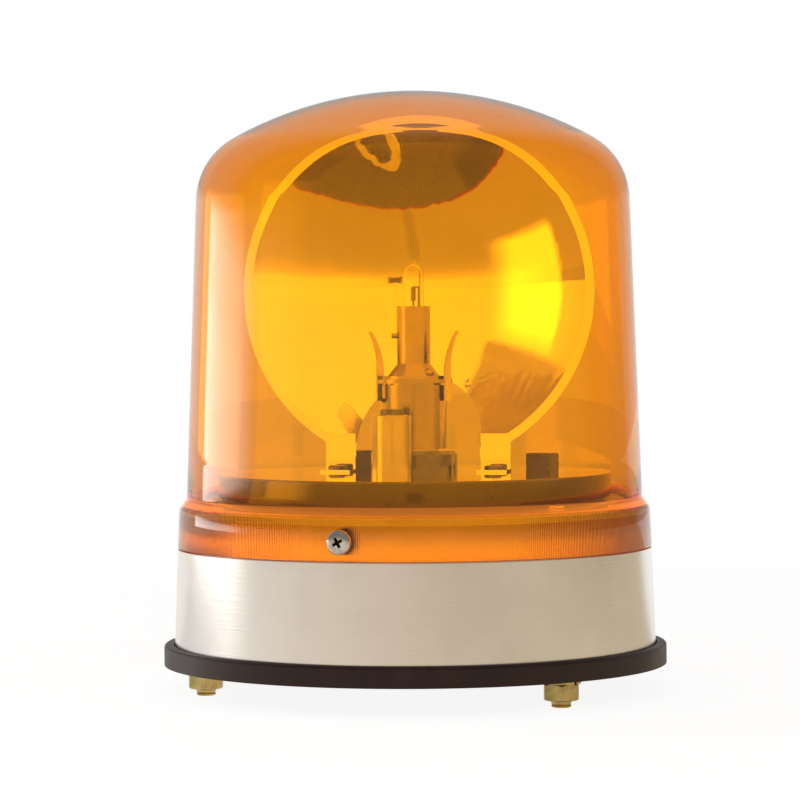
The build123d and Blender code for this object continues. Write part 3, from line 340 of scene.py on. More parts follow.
# Finishes
@dataclass(frozen=True)
class Finish:
    """A surface finish; each kind lays out its own nodes."""

    name: str

    def material(self, effects: Effects) -> bpy.types.Material:
        """Makes the material.

        Args:
            effects: the shared effect groups.

        Returns:
            The new material.
        """
        made = bpy.data.materials.new(self.name)
        made.use_nodes = True
        made.node_tree.nodes.clear()
        desk = Desk(made.node_tree)
        end = desk.add("OutputMaterial")
        self.lay_out(desk, effects, end)
        return made

    def lay_out(self, desk: Desk, effects: Effects, end: bpy.types.Node) -> None:
        """Lays out the finish's nodes; each kind has its own."""
        raise NotImplementedError

    @staticmethod
    def effect(desk: Desk, group: bpy.types.NodeTree, inputs: dict) -> bpy.types.Node:
        """Places a shared effect in a material.

        Args:
            desk: the material's desk.
            group: the effect's group.
            inputs: its values.

        Returns:
            The group node.
        """
        node = desk.add("Group", node_tree=group)
        for name, value in inputs.items():
            desk.feed(node.inputs[name], value)
        return node

    @staticmethod
    def place(desk: Desk, centre: Point = (0.0, 0.0)) -> bpy.types.NodeSocket:
        """The piece's own coordinates, moved so that a pattern is centred.

        Args:
            desk: the material's desk.
            centre: the pattern's middle, x and y in millimetres.

        Returns:
            The coordinates.
        """
        source = desk.add("TexCoord").outputs["Object"]
        if centre == (0.0, 0.0):
            return source
        moved = (-centre[0] * MM, -centre[1] * MM, 0.0)
        return desk.add("Mapping", {"Vector": source, "Location": moved}).outputs[0]

    @staticmethod
    def bump(
        desk: Desk, height: bpy.types.NodeSocket, strength: float, distance: float = GRAIN_HEIGHT
    ) -> bpy.types.NodeSocket:
        """Turns a height into a bumped normal.

        Args:
            desk: the material's desk.
            height: the height, from nought to one.
            strength: how strongly it shows.
            distance: how high one stands, in metres.

        Returns:
            The normal.
        """
        return desk.add("Bump", {"Strength": strength, "Distance": distance, "Height": height}).outputs[0]


@dataclass(frozen=True)
class Metal(Finish):
    """Bare or plated metal with turned lines and handling marks, and an optional band of painted shade
    between two heights.
    """

    colour: Colour = (0.8, 0.8, 0.8)
    stain: Colour = (0.7, 0.7, 0.7)
    smooth: float = 0.2
    rough: float = 0.3
    lines: float = 2200.0
    depth: float = 0.05
    mark_scale: float = 60.0
    axis: Axis = Axis.BEACON
    drift: float = 1.5
    streaks: float = 0.35
    # Painted shade: a band between two heights is darkened towards this colour, standing in for the shade
    # that falls there
    painted_shade: Colour = (0.7, 0.7, 0.7)
    painted_shade_from: float = 0.0
    painted_shade_to: float = 0.0
    painted_shade_edge: float = 0.1

    def lay_out(self, desk: Desk, effects: Effects, end: bpy.types.Node) -> None:
        """Lays out a metal.

        Args:
            desk: the material's desk.
            effects: the shared effect groups.
            end: the material's output.
        """
        place = self.place(desk, self.axis.value)
        lines = self.effect(desk, effects.lines, {"Vector": place, "Lines": self.lines, "Drift": self.drift})
        marks = {"Vector": place, "Scale": self.mark_scale, "Low": self.smooth, "High": self.rough}
        marks = self.effect(desk, effects.marks, marks)
        colour = desk.blend(marks.outputs["Mask"], self.colour, self.stain)
        share = desk.maths("MULTIPLY", lines.outputs["Tone"], self.streaks)
        colour = desk.blend(share, colour, self.stain)
        # Painted shade: between two heights the colour blends to a darker one, where shade falls
        if self.painted_shade_to > self.painted_shade_from:
            height = desk.split(place)[2]
            band = desk.window(height, self.painted_shade_from * MM, self.painted_shade_to * MM, self.painted_shade_edge * MM)
            colour = desk.blend(band, colour, self.painted_shade)
        shader = desk.add("BsdfPrincipled", {
            "Base Color": colour,
            "Metallic": 1.0,
            "Roughness": marks.outputs["Roughness"],
            "Normal": self.bump(desk, lines.outputs["Height"], self.depth),
        })
        desk.feed(end.inputs["Surface"], shader.outputs[0])


@dataclass(frozen=True)
class Moulding(Finish):
    """Moulded plastic, rubber or ceramic with a fine grain."""

    colour: Colour = (0.1, 0.1, 0.1)
    dusty: Colour = (0.15, 0.15, 0.15)
    smooth: float = 0.3
    rough: float = 0.5
    grain: float = 2500.0
    depth: float = 0.1
    mark_scale: float = 45.0
    shine: float = 0.5
    coat: float = 0.0

    def lay_out(self, desk: Desk, effects: Effects, end: bpy.types.Node) -> None:
        """Lays out a moulding.

        Args:
            desk: the material's desk.
            effects: the shared effect groups.
            end: the material's output.
        """
        place = self.place(desk)
        grain = self.effect(desk, effects.grain, {"Vector": place, "Scale": self.grain})
        marks = {"Vector": place, "Scale": self.mark_scale, "Low": self.smooth, "High": self.rough}
        marks = self.effect(desk, effects.marks, marks)
        share = desk.maths("MULTIPLY", marks.outputs["Mask"], grain.outputs["Mask"])
        colour = desk.blend(share, self.colour, self.dusty)
        shader = desk.add("BsdfPrincipled", {
            "Base Color": colour,
            "Roughness": marks.outputs["Roughness"],
            "Specular IOR Level": self.shine,
            "Coat Weight": self.coat,
            "Coat Roughness": self.smooth,
            "Normal": self.bump(desk, grain.outputs["Height"], self.depth),
        })
        desk.feed(end.inputs["Surface"], shader.outputs[0])


@dataclass(frozen=True)
class Clear(Finish):
    """Glass or clear plastic that takes colour by its depth and lets the lamps through, with an optional
    painted glow band that emits light though it is no lamp.
    """

    ior: float = 1.49
    smooth: float = 0.0
    rough: float = 0.03
    mark_scale: float = 25.0
    tint: Colour = WHITE
    absorbed: Colour = WHITE
    density: float = 0.0
    shadow: Colour = WHITE
    flutes: int = 0
    flute_bottom: float = 0.0
    flute_top: float = 0.0
    flute_radius: float = 0.0
    flute_depth: float = 0.0
    # Painted glow: an orange emission band on the shoulder, standing in for light there; the dome is no lamp
    glow: Colour = WHITE
    glow_bottom: float = 0.0
    glow_top: float = 0.0
    glow_radius: float = 0.0
    glow_edge: float = 0.3
    glow_radius_edge: float = 0.2
    glow_strength: float = 0.7

    def lay_out(self, desk: Desk, effects: Effects, end: bpy.types.Node) -> None:
        """Lays out a clear finish.

        Args:
            desk: the material's desk.
            effects: the shared effect groups.
            end: the material's output.
        """
        place = self.place(desk)
        marks = {"Vector": place, "Scale": self.mark_scale, "Low": self.smooth, "High": self.rough}
        marks = self.effect(desk, effects.marks, marks)
        shader = desk.add("BsdfPrincipled", {
            "Base Color": self.tint,
            "Roughness": marks.outputs["Roughness"],
            "IOR": self.ior,
            "Transmission Weight": 1.0,
        })
        if self.flutes:
            desk.feed(shader.inputs["Normal"], self.fluted(desk, effects, place))
        # Painted glow: the shoulder band emits orange light that stands in for the light there and hides the
        # dark gap behind it
        if self.glow_top > self.glow_bottom:
            lit = self.lit_share(desk, place)
            desk.feed(shader.inputs["Emission Color"], desk.blend(lit, BLACK, self.glow))
            shader.inputs["Emission Strength"].default_value = self.glow_strength
        lamps = desk.add("LightPath").outputs["Is Shadow Ray"]
        through = desk.add("BsdfTransparent", {"Color": self.shadow})
        mix = desk.add("MixShader", {0: lamps, 1: shader.outputs[0], 2: through.outputs[0]})
        desk.feed(end.inputs["Surface"], mix.outputs[0])
        if self.density:
            volume = desk.add("VolumeAbsorption", {"Color": self.absorbed, "Density": self.density})
            desk.feed(end.inputs["Volume"], volume.outputs[0])

    def fluted(self, desk: Desk, effects: Effects, place: bpy.types.NodeSocket) -> bpy.types.NodeSocket:
        """The normal of a wall with upright flutes inside.

        Args:
            desk: the material's desk.
            effects: the shared effect groups.
            place: the piece's coordinates.

        Returns:
            The normal.
        """
        inputs = {"Vector": place, "Count": float(self.flutes), "Radius": self.flute_radius * MM}
        inputs.update({"Bottom": self.flute_bottom * MM, "Top": self.flute_top * MM})
        flutes = self.effect(desk, effects.flutes, inputs)
        return self.bump(desk, flutes.outputs["Height"], 1.0, self.flute_depth * MM)

    def lit_share(self, desk: Desk, place: bpy.types.NodeSocket) -> bpy.types.NodeSocket:
        """Where the painted glow sits: between two heights and outside a radius.

        Args:
            desk: the material's desk.
            place: the piece's coordinates.

        Returns:
            The share.
        """
        x, y, z = desk.split(place)
        inner = (self.glow_radius - self.glow_radius_edge) * MM
        outer = (self.glow_radius + self.glow_radius_edge) * MM
        outside = desk.rise(desk.reach(x, y), inner, outer)
        band = desk.window(z, self.glow_bottom * MM, self.glow_top * MM, self.glow_edge * MM)
        return desk.maths("MULTIPLY", band, outside)


SMALL_SCREW = {"lines": 500.0, "depth": 0.02, "mark_scale": 320.0}

FINISHES: dict[str, Finish] = {
    "pad_rubber": Moulding(
        "PadRubber", colour=(0.021, 0.0045, 0.004), dusty=(0.045, 0.018, 0.015), smooth=0.38, rough=0.52,
        grain=3000.0, depth=0.25, shine=0.45,
    ),
    # Painted shade on the base: the steel darkens from 35.3 to 45.9 mm, below and behind the dome's skirt,
    # where shade falls
    "base_steel": Metal(
        "SatinBaseSteel", colour=(0.90, 0.87, 0.83), stain=(0.84, 0.80, 0.75), smooth=0.17, rough=0.23,
        lines=1500.0, depth=0.06, mark_scale=18.0, painted_shade=(0.64, 0.47, 0.42), painted_shade_from=35.3, painted_shade_to=45.9,
    ),
    "zinc_steel": Metal(
        "PlatedSteel", colour=(0.62, 0.63, 0.66), stain=(0.5, 0.51, 0.53), smooth=0.28, rough=0.42,
        lines=600.0, depth=0.03,
    ),
    "yellow_zinc": Metal(
        "YellowZinc", colour=(0.66, 0.50, 0.20), stain=(0.42, 0.36, 0.16), smooth=0.22, rough=0.4,
        lines=900.0, depth=0.05, mark_scale=260.0,
    ),
    "black_rubber": Moulding(
        "BlackRubber", colour=(0.012, 0.012, 0.012), dusty=(0.03, 0.028, 0.026), smooth=0.45, rough=0.65,
        grain=2600.0, depth=0.3,
    ),
    "pale_gasket": Moulding(
        "PaleGasket", colour=(0.74, 0.70, 0.62), dusty=(0.6, 0.55, 0.47), smooth=0.4, rough=0.55,
        grain=2600.0, depth=0.15,
    ),
    # Painted glow: the glow settings give the dome's shoulder band an orange emission that stands in for
    # light
    "amber_lens": Clear(
        "AmberDome", ior=1.49, tint=(0.925, 0.765, 0.50), absorbed=(0.991, 0.864, 0.0), density=1020.0,
        shadow=(0.93, 0.62, 0.18), flutes=720, flute_bottom=36.4, flute_top=47.4, flute_radius=71.2,
        flute_depth=0.08, glow=(0.62, 0.17, 0.015), glow_bottom=48.7, glow_top=51.2, glow_radius=69.6,
    ),
    "bright_screw": Metal(
        "BrightScrew", colour=(0.80, 0.78, 0.74), stain=(0.55, 0.52, 0.47), smooth=0.16, rough=0.3,
        **SMALL_SCREW,
    ),
    # Painted shade: a dark colour inside the cross recesses, standing in for the shade in the hollows
    "screw_recess": Metal(
        "PaintedRecessShade", colour=(0.10, 0.06, 0.045), stain=(0.06, 0.035, 0.03), smooth=0.4, rough=0.6,
        **SMALL_SCREW,
    ),
    "dull_screw": Metal(
        "DullScrew", colour=(0.16, 0.15, 0.14), stain=(0.12, 0.11, 0.10), smooth=0.18, rough=0.32,
        **SMALL_SCREW,
    ),
    "turned_steel": Metal(
        "TurnedSteel", colour=(0.7, 0.7, 0.7), stain=(0.6, 0.6, 0.6), smooth=0.2, rough=0.32,
        lines=3000.0, depth=0.12,
    ),
    "white_plastic": Moulding(
        "WhitePlastic", colour=(0.72, 0.71, 0.67), dusty=(0.6, 0.58, 0.52), smooth=0.35, rough=0.5,
    ),
    "motor_steel": Metal(
        "MotorSteel", colour=(0.6, 0.61, 0.62), stain=(0.5, 0.5, 0.5), smooth=0.25, rough=0.4,
        lines=1400.0, depth=0.05, axis=Axis.MOTOR,
    ),
    "black_plastic": Moulding(
        "BlackPlastic", colour=(0.18, 0.14, 0.13), dusty=(0.21, 0.17, 0.16), smooth=0.25, rough=0.45,
        grain=2200.0, depth=0.15,
    ),
    "terminal_plastic": Moulding(
        "TerminalPlastic", colour=(0.55, 0.54, 0.5), dusty=(0.42, 0.4, 0.37), smooth=0.35, rough=0.5,
    ),
    "table_plastic": Moulding(
        "GlossyTable", colour=(0.045, 0.040, 0.038), dusty=(0.07, 0.065, 0.06), smooth=0.04, rough=0.11,
        grain=900.0, depth=0.012, mark_scale=30.0, shine=1.0, coat=1.0,
    ),
    "bush_bronze": Metal(
        "SinteredBronze", colour=(0.55, 0.36, 0.17), stain=(0.4, 0.25, 0.12), smooth=0.4, rough=0.6,
        lines=1800.0, depth=0.1, mark_scale=500.0,
    ),
    "mirror_dish": Metal(
        "PolishedDish", colour=(0.95, 0.93, 0.90), stain=(0.90, 0.88, 0.84), smooth=0.015, rough=0.05,
        lines=300.0, depth=0.004, mark_scale=30.0,
    ),
    "weight_brass": Metal(
        "TurnedBrass", colour=(0.54, 0.54, 0.34), stain=(0.45, 0.44, 0.27), smooth=0.13, rough=0.22,
        lines=3200.0, depth=0.08, mark_scale=120.0, axis=Axis.WEIGHT,
    ),
    "lamp_base_ceramic": Moulding(
        "LampBaseCeramic", colour=(0.5, 0.47, 0.41), dusty=(0.4, 0.37, 0.32), smooth=0.4, rough=0.6,
    ),
    "tower_steel": Metal(
        "TowerSteel", colour=(0.43, 0.39, 0.36), stain=(0.37, 0.34, 0.31), smooth=0.14, rough=0.24,
        lines=1300.0, depth=0.05, mark_scale=60.0,
    ),
    "spring_steel": Metal(
        "SpringSteel", colour=(0.50, 0.47, 0.42), stain=(0.44, 0.41, 0.37), smooth=0.15, rough=0.26,
        lines=400.0, depth=0.02,
    ),
    "lamp_metal": Metal(
        "LampMetal", colour=(0.46, 0.40, 0.35), stain=(0.37, 0.32, 0.27), smooth=0.15, rough=0.28,
        lines=1100.0, depth=0.06, mark_scale=90.0,
    ),
    "quartz_glass": Clear("QuartzTube", ior=1.46, shadow=(0.97, 0.97, 0.97)),
    "tungsten": Metal(
        "Tungsten", colour=(0.30, 0.29, 0.28), stain=(0.2, 0.19, 0.18), smooth=0.35, rough=0.5,
        lines=6000.0, depth=0.1,
    ),
    "lead_cover": Moulding(
        "LeadCover", colour=(0.05, 0.03, 0.02), dusty=(0.08, 0.06, 0.05), smooth=0.35, rough=0.5,
    ),
}


# Modelling by hand
class Bench:
    """The modelling moves that the sub-assemblies share."""

    @staticmethod
    def clear_selection() -> None:
        """Leaves every object unselected, in object mode."""
        if bpy.context.object and bpy.context.object.mode != "OBJECT":
            bpy.ops.object.mode_set(mode="OBJECT")
        bpy.ops.object.select_all(action="DESELECT")

    @classmethod
    def pick(cls, piece: bpy.types.Object) -> None:
        """Selects one piece alone and makes it the active one.

        Args:
            piece: the piece.
        """
        cls.clear_selection()
        piece.select_set(True)
        bpy.context.view_layer.objects.active = piece

    @classmethod
    def lathe(cls, name: str, profile: Sequence[Point], steps: int) -> bpy.types.Object:
        """Turns a profile round the Z axis, as on a lathe.

        Args:
            name: the piece's name.
            profile: (radius, height) points in millimetres, in order; a closed wall ends where it began.
            steps: how many faces go round.

        Returns:
            The turned piece.
        """
        cls.clear_selection()
        bpy.ops.mesh.primitive_plane_add(size=MM, location=(0.0, 0.0, 0.0))
        piece = bpy.context.object
        piece.name = name
        piece.data.name = name
        bpy.ops.object.mode_set(mode="EDIT")
        bpy.ops.mesh.select_all(action="SELECT")
        bpy.ops.mesh.merge(type="CENTER")
        bpy.ops.mesh.select_mode(type="VERT")
        bpy.ops.mesh.select_all(action="SELECT")
        here = profile[0]
        bpy.ops.transform.translate(value=(here[0] * MM, 0.0, here[1] * MM))
        for there in profile[1:]:
            step = ((there[0] - here[0]) * MM, 0.0, (there[1] - here[1]) * MM)
            bpy.ops.mesh.extrude_vertices_move(TRANSFORM_OT_translate={"value": step})
            here = there
        bpy.ops.mesh.select_all(action="SELECT")
        bpy.ops.mesh.spin(
            steps=steps, angle=math.tau, center=(0.0, 0.0, 0.0), axis=(0.0, 0.0, 1.0), use_auto_merge=True
        )
        bpy.ops.mesh.select_all(action="SELECT")
        bpy.ops.mesh.remove_doubles(threshold=MERGE_GAP)
        bpy.ops.mesh.normals_make_consistent(inside=False)
        bpy.ops.object.mode_set(mode="OBJECT")
        bpy.ops.object.shade_smooth_by_angle(angle=SHARP_ANGLE)
        return piece

    @classmethod
    def block(
        cls,
        size: Place,
        height: float,
        turn: float,
        reach: float = 0.0,
        taper: Point = (1.0, 1.0),
    ) -> bpy.types.Object:
        """A plain block that serves as a cutter.

        Args:
            size: its edges in millimetres.
            height: the height of its middle.
            turn: how far it is turned round Z, in radians.
            reach: how far its middle stands out from the axis before it is turned.
            taper: the share of its width and depth that its lower end keeps.

        Returns:
            The block.
        """
        cls.clear_selection()
        bpy.ops.mesh.primitive_cube_add(size=1.0, location=(0.0, 0.0, 0.0))
        block = bpy.context.object
        if taper != (1.0, 1.0):
            foot = -0.5
            for corner in block.data.vertices:
                corner.select = corner.co.z < 0.0
            for edge in block.data.edges:
                edge.select = all(block.data.vertices[v].select for v in edge.vertices)
            for face in block.data.polygons:
                face.select = face.normal.z < foot
            bpy.ops.object.mode_set(mode="EDIT")
            bpy.ops.transform.resize(value=(*taper, 1.0), center_override=(0.0, 0.0, foot))
            bpy.ops.object.mode_set(mode="OBJECT")
        scale = Matrix.Diagonal((*(edge * MM for edge in size), 1.0))
        place = Matrix.Rotation(turn, 4, "Z") @ Matrix.Translation((reach * MM, 0.0, height * MM))
        block.matrix_world = place @ scale
        cls.settle(block)
        return block

    @classmethod
    def cut(cls, piece: bpy.types.Object, tool: bpy.types.Object) -> None:
        """Cuts one piece with another, which is used up.

        Args:
            piece: the piece to cut.
            tool: the cutter.
        """
        modifier = piece.modifiers.new("cut", "BOOLEAN")
        modifier.operation = "DIFFERENCE"
        modifier.solver = "EXACT"
        modifier.object = tool
        cls.finish_modifiers(piece)
        bpy.data.objects.remove(tool, do_unlink=True)
        cls.pick(piece)
        bpy.ops.object.shade_smooth_by_angle(angle=SHARP_ANGLE)

    @classmethod
    def copy(cls, piece: bpy.types.Object, name: str) -> bpy.types.Object:
        """A copy of a piece with its own mesh.

        Args:
            piece: the piece.
            name: the copy's name.

        Returns:
            The copy.
        """
        cls.pick(piece)
        bpy.ops.object.duplicate(linked=False)
        twin = bpy.context.object
        twin.name = name
        twin.data.name = name
        return twin

    @classmethod
    def settle(cls, piece: bpy.types.Object) -> None:
        """Puts a piece's place, turn and size into its mesh.

        Args:
            piece: the piece.
        """
        cls.pick(piece)
        bpy.ops.object.transform_apply(location=True, rotation=True, scale=True)

    @classmethod
    def finish_modifiers(cls, piece: bpy.types.Object) -> None:
        """Applies every modifier on a piece, in order.

        Args:
            piece: the piece.
        """
        cls.pick(piece)
        for modifier in list(piece.modifiers):
            bpy.ops.object.modifier_apply(modifier=modifier.name)


def moved_from(corner: Point, offsets: Sequence[Point]) -> list[Point]:
    """Points that stand off a corner.

    Args:
        corner: the corner.
        offsets: how far each point stands off it.

    Returns:
        The points.
    """
    return [(corner[0] + across, corner[1] + up) for across, up in offsets]


def arc(centre: Point, radius: float, start: float, end: float, steps: int) -> list[Point]:
    """Points along an arc.

    Args:
        centre: its middle.
        radius: its radius.
        start: the angle where it starts, in radians from the outward radius.
        end: the angle where it ends.
        steps: how many stretches it has.

    Returns:
        The points, both ends included.
    """
    angles = [start + (end - start) * k / steps for k in range(steps + 1)]
    return [(centre[0] + radius * math.cos(a), centre[1] + radius * math.sin(a)) for a in angles]


# Sub-assemblies
@dataclass
class Assembly:
    """A sub-assembly: it dresses its nodes and adds its own pieces."""

    frame: dict
    materials: dict[str, bpy.types.Material]

    def dress(self, slot: str, *nodes: str) -> None:
        """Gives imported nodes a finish.

        Args:
            slot: the finish's slot.
            nodes: the nodes' names.
        """
        for name in nodes:
            node = self.frame["nodes"][name]
            for place in node.material_slots:
                place.material = self.materials[slot]
            log.info("node %s wears %s", name, self.materials[slot].name)

    def add(self, piece: bpy.types.Object, body: str, slot: str, *nodes: str) -> None:
        """Takes a new piece into the model.

        Args:
            piece: the piece.
            body: the body that it rides on.
            slot: its finish's slot.
            nodes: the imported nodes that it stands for.
        """
        piece.data.materials.clear()
        piece.data.materials.append(self.materials[slot])
        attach(piece, body)
        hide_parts(*nodes)
        log.info("piece %s rides on %s: %d faces", piece.name, body, len(piece.data.polygons))


@dataclass
class Dome(Assembly):
    """The amber dome with its skirt."""

    skirt_bottom: float = 35.8
    skirt_top: float = 48.2
    skirt_r_bottom: float = 72.9
    skirt_r_top: float = 72.3
    skirt_bore: float = 70.1
    seat: float = 47.9
    shoulder_r: float = 70.0
    shoulder_top: float = 51.0
    wall: float = 2.5
    draft: float = math.radians(2.16)
    crown_r: float = 113.0
    top: float = 175.3
    shoulder_fillet: float = 22.0
    inner_crown_r: float = 112.0
    inner_top: float = 172.7
    inner_fillet: float = 20.8
    bore_edge: float = 0.2
    seat_edge: float = 0.3
    toe: tuple[Point, ...] = ((-0.6, 0.0), (-0.2, 0.15), (0.0, 0.6))
    brow: tuple[Point, ...] = ((0.02, -0.9), (-0.2, -0.2), (-0.8, 0.55))
    root: tuple[Point, ...] = ((0.7, -0.9), (0.15, -0.25), (-0.02, 0.5))
    pole_r: float = 0.5
    wall_steps: int = 16
    shoulder_steps: int = 14
    crown_steps: int = 48
    steps: int = 256

    def bell(self, inset: float, top: float, crown_r: float, round_r: float) -> list[Point]:
        """The wall, shoulder and crown of one side of the moulding.

        Args:
            inset: the wall's depth below the outside.
            top: the crown's height on the axis.
            crown_r: the crown's radius.
            round_r: the shoulder's radius.

        Returns:
            Points from the wall's foot to the top, on the axis.
        """
        slope = math.tan(self.draft)
        start = self.shoulder_r - inset + slope * self.shoulder_top
        low = top - crown_r
        reach = start - round_r / math.cos(self.draft)
        a = 1.0 + slope**2
        b = -2.0 * (slope * reach + low)
        c = reach**2 + low**2 - (crown_r - round_r) ** 2
        z = (-b + math.sqrt(b**2 - 4.0 * a * c)) / (2.0 * a)
        middle = (reach - slope * z, z)
        lean = math.atan2(middle[1] - low, middle[0])
        shoulder = arc(middle, round_r, self.draft, lean, self.shoulder_steps)
        crown = arc((0.0, low), crown_r, lean, math.pi / 2, self.crown_steps)
        near_pole = (self.pole_r, low + math.sqrt(crown_r**2 - self.pole_r**2))
        return shoulder + crown[1:-1] + [near_pole, (0.0, low + crown_r)]

    def build(self) -> None:
        """Turns the dome and its skirt in one piece."""
        outer = self.bell(0.0, self.top, self.crown_r, self.shoulder_fillet)
        inner = self.bell(self.wall, self.inner_top, self.inner_crown_r, self.inner_fillet)
        foot = (self.shoulder_r, self.shoulder_top)
        head = outer[0]
        shares = [k / self.wall_steps for k in range(2, self.wall_steps)]
        wall = [(foot[0] + (head[0] - foot[0]) * s, foot[1] + (head[1] - foot[1]) * s) for s in shares]
        profile = [
            (self.skirt_bore, self.skirt_bottom + self.bore_edge),
            (self.skirt_bore + self.bore_edge, self.skirt_bottom),
            *moved_from((self.skirt_r_bottom, self.skirt_bottom), self.toe),
            *moved_from((self.skirt_r_top, self.skirt_top), self.brow),
            *moved_from(foot, self.root),
            *wall,
            *outer,
            *reversed(inner[:-1]),
            (self.shoulder_r - self.wall, self.seat),
            (self.skirt_bore - self.seat_edge, self.seat),
            (self.skirt_bore, self.seat - self.seat_edge),
            (self.skirt_bore, self.skirt_bottom + self.bore_edge),
        ]
        piece = Bench.lathe("dome", profile, self.steps)
        self.add(piece, "base", "amber_lens", "dome_lens")
        self.dress("pale_gasket", "lens_gasket")


@dataclass
class Base(Assembly):
    """The steel base, its rubber pad and its studs."""

    def build(self) -> None:
        """Dresses the base."""
        self.dress("base_steel", "base_shell", "base_floor")
        self.dress("pad_rubber", "rubber_pad")
        self.dress("yellow_zinc", "spring_washers")
        self.dress("zinc_steel", "stud_sleeves", "neck_nuts")
        self.dress("black_rubber", "cable_grommet")


@dataclass
class Drive(Assembly):
    """The chassis plate, spindle, motor and gear."""

    def build(self) -> None:
        """Dresses the drive."""
        self.dress("zinc_steel", "chassis_plate", "spindle_nut")
        self.dress("bright_screw", "chassis_screws", "motor_screws", "terminal_screws")
        self.dress("turned_steel", "spindle", "retaining_clip", "motor_shaft")
        self.dress("white_plastic", "thrust_washer", "drive_pinion")
        self.dress("motor_steel", "motor_can")
        self.dress("black_plastic", "motor_end_cap")
        self.dress("terminal_plastic", "terminal_block")


@dataclass
class Rotor(Assembly):
    """The turntable and what turns with it."""

    def build(self) -> None:
        """Dresses the rotor."""
        self.dress("table_plastic", "turntable")
        self.dress("bush_bronze", "hub_bush")
        self.dress("mirror_dish", "reflector")
        self.dress("dull_screw", "reflector_screws", "counterweight_screw")
        self.dress("weight_brass", "counterweight")
        self.dress("black_plastic", "balance_blocks")


@dataclass
class Lamp(Assembly):
    """The fixed lamp with its tower and springs."""

    def build(self) -> None:
        """Dresses the lamp."""
        self.dress("lamp_base_ceramic", "lamp_base")
        self.dress("tower_steel", "lamp_tower", "holder_ring")
        self.dress("spring_steel", "left_spring", "right_spring")
        self.dress("lamp_metal", "lamp_cap")
        self.dress("quartz_glass", "lamp_capsule")
        self.dress("tungsten", "lamp_filament")
        self.dress("lead_cover", "lamp_lead")


@dataclass
class PanScrew:
    """A pan-head screw with a cross recess, drawn upright at the origin."""

    head_r: float = 3.65
    head_h: float = 2.2
    shank_r: float = 2.0
    length: float = 9.0
    tip: float = 0.4
    edge: float = 0.12
    rim_h: float = 0.15
    dome_share: float = 0.62
    bulge: float = 0.62
    recess_w: float = 1.15
    recess_span: float = 4.4
    recess_depth: float = 1.7
    recess_taper: Point = (0.45, 0.3)
    recess_lip: float = 0.3
    spare: float = 0.1
    over: float = 1.0
    dome_steps: int = 12
    steps: int = 48

    def build(self, name: str) -> bpy.types.Object:
        """Turns the screw and sinks the recess into its head.

        Args:
            name: the piece's name.

        Returns:
            The screw.
        """
        dome = self.head_h * self.dome_share
        profile = [(0.0, -self.length), (self.shank_r - self.tip, -self.length)]
        profile += [(self.shank_r, self.tip - self.length), (self.shank_r, 0.0)]
        profile += [(self.head_r - self.edge, 0.0), (self.head_r, self.edge)]
        profile += [(self.head_r, self.head_h - dome - self.rim_h)]
        for k in range(1, self.dome_steps):
            a = math.pi / 2 * k / self.dome_steps
            profile.append((self.head_r * math.cos(a) ** self.bulge, self.head_h - dome + dome * math.sin(a)))
        profile.append((0.0, self.head_h))
        screw = Bench.lathe(name, profile, self.steps)
        middle = self.head_h + self.over / 2 - self.recess_depth / 2
        for turn in (0.0, math.pi / 2):
            size = (self.recess_w, self.recess_span, self.recess_depth + self.over)
            Bench.cut(screw, Bench.block(size, middle, turn, taper=self.recess_taper))
        return screw

    def in_recess(self, spot: Vector) -> bool:
        """Tells whether a spot, in the screw's own frame, lies on the recess."""
        low = self.head_h - self.recess_depth - self.spare
        near = math.hypot(spot.x, spot.y) < self.recess_span / 2 * MM
        return near and low * MM < spot.z < (self.head_h - self.recess_lip) * MM


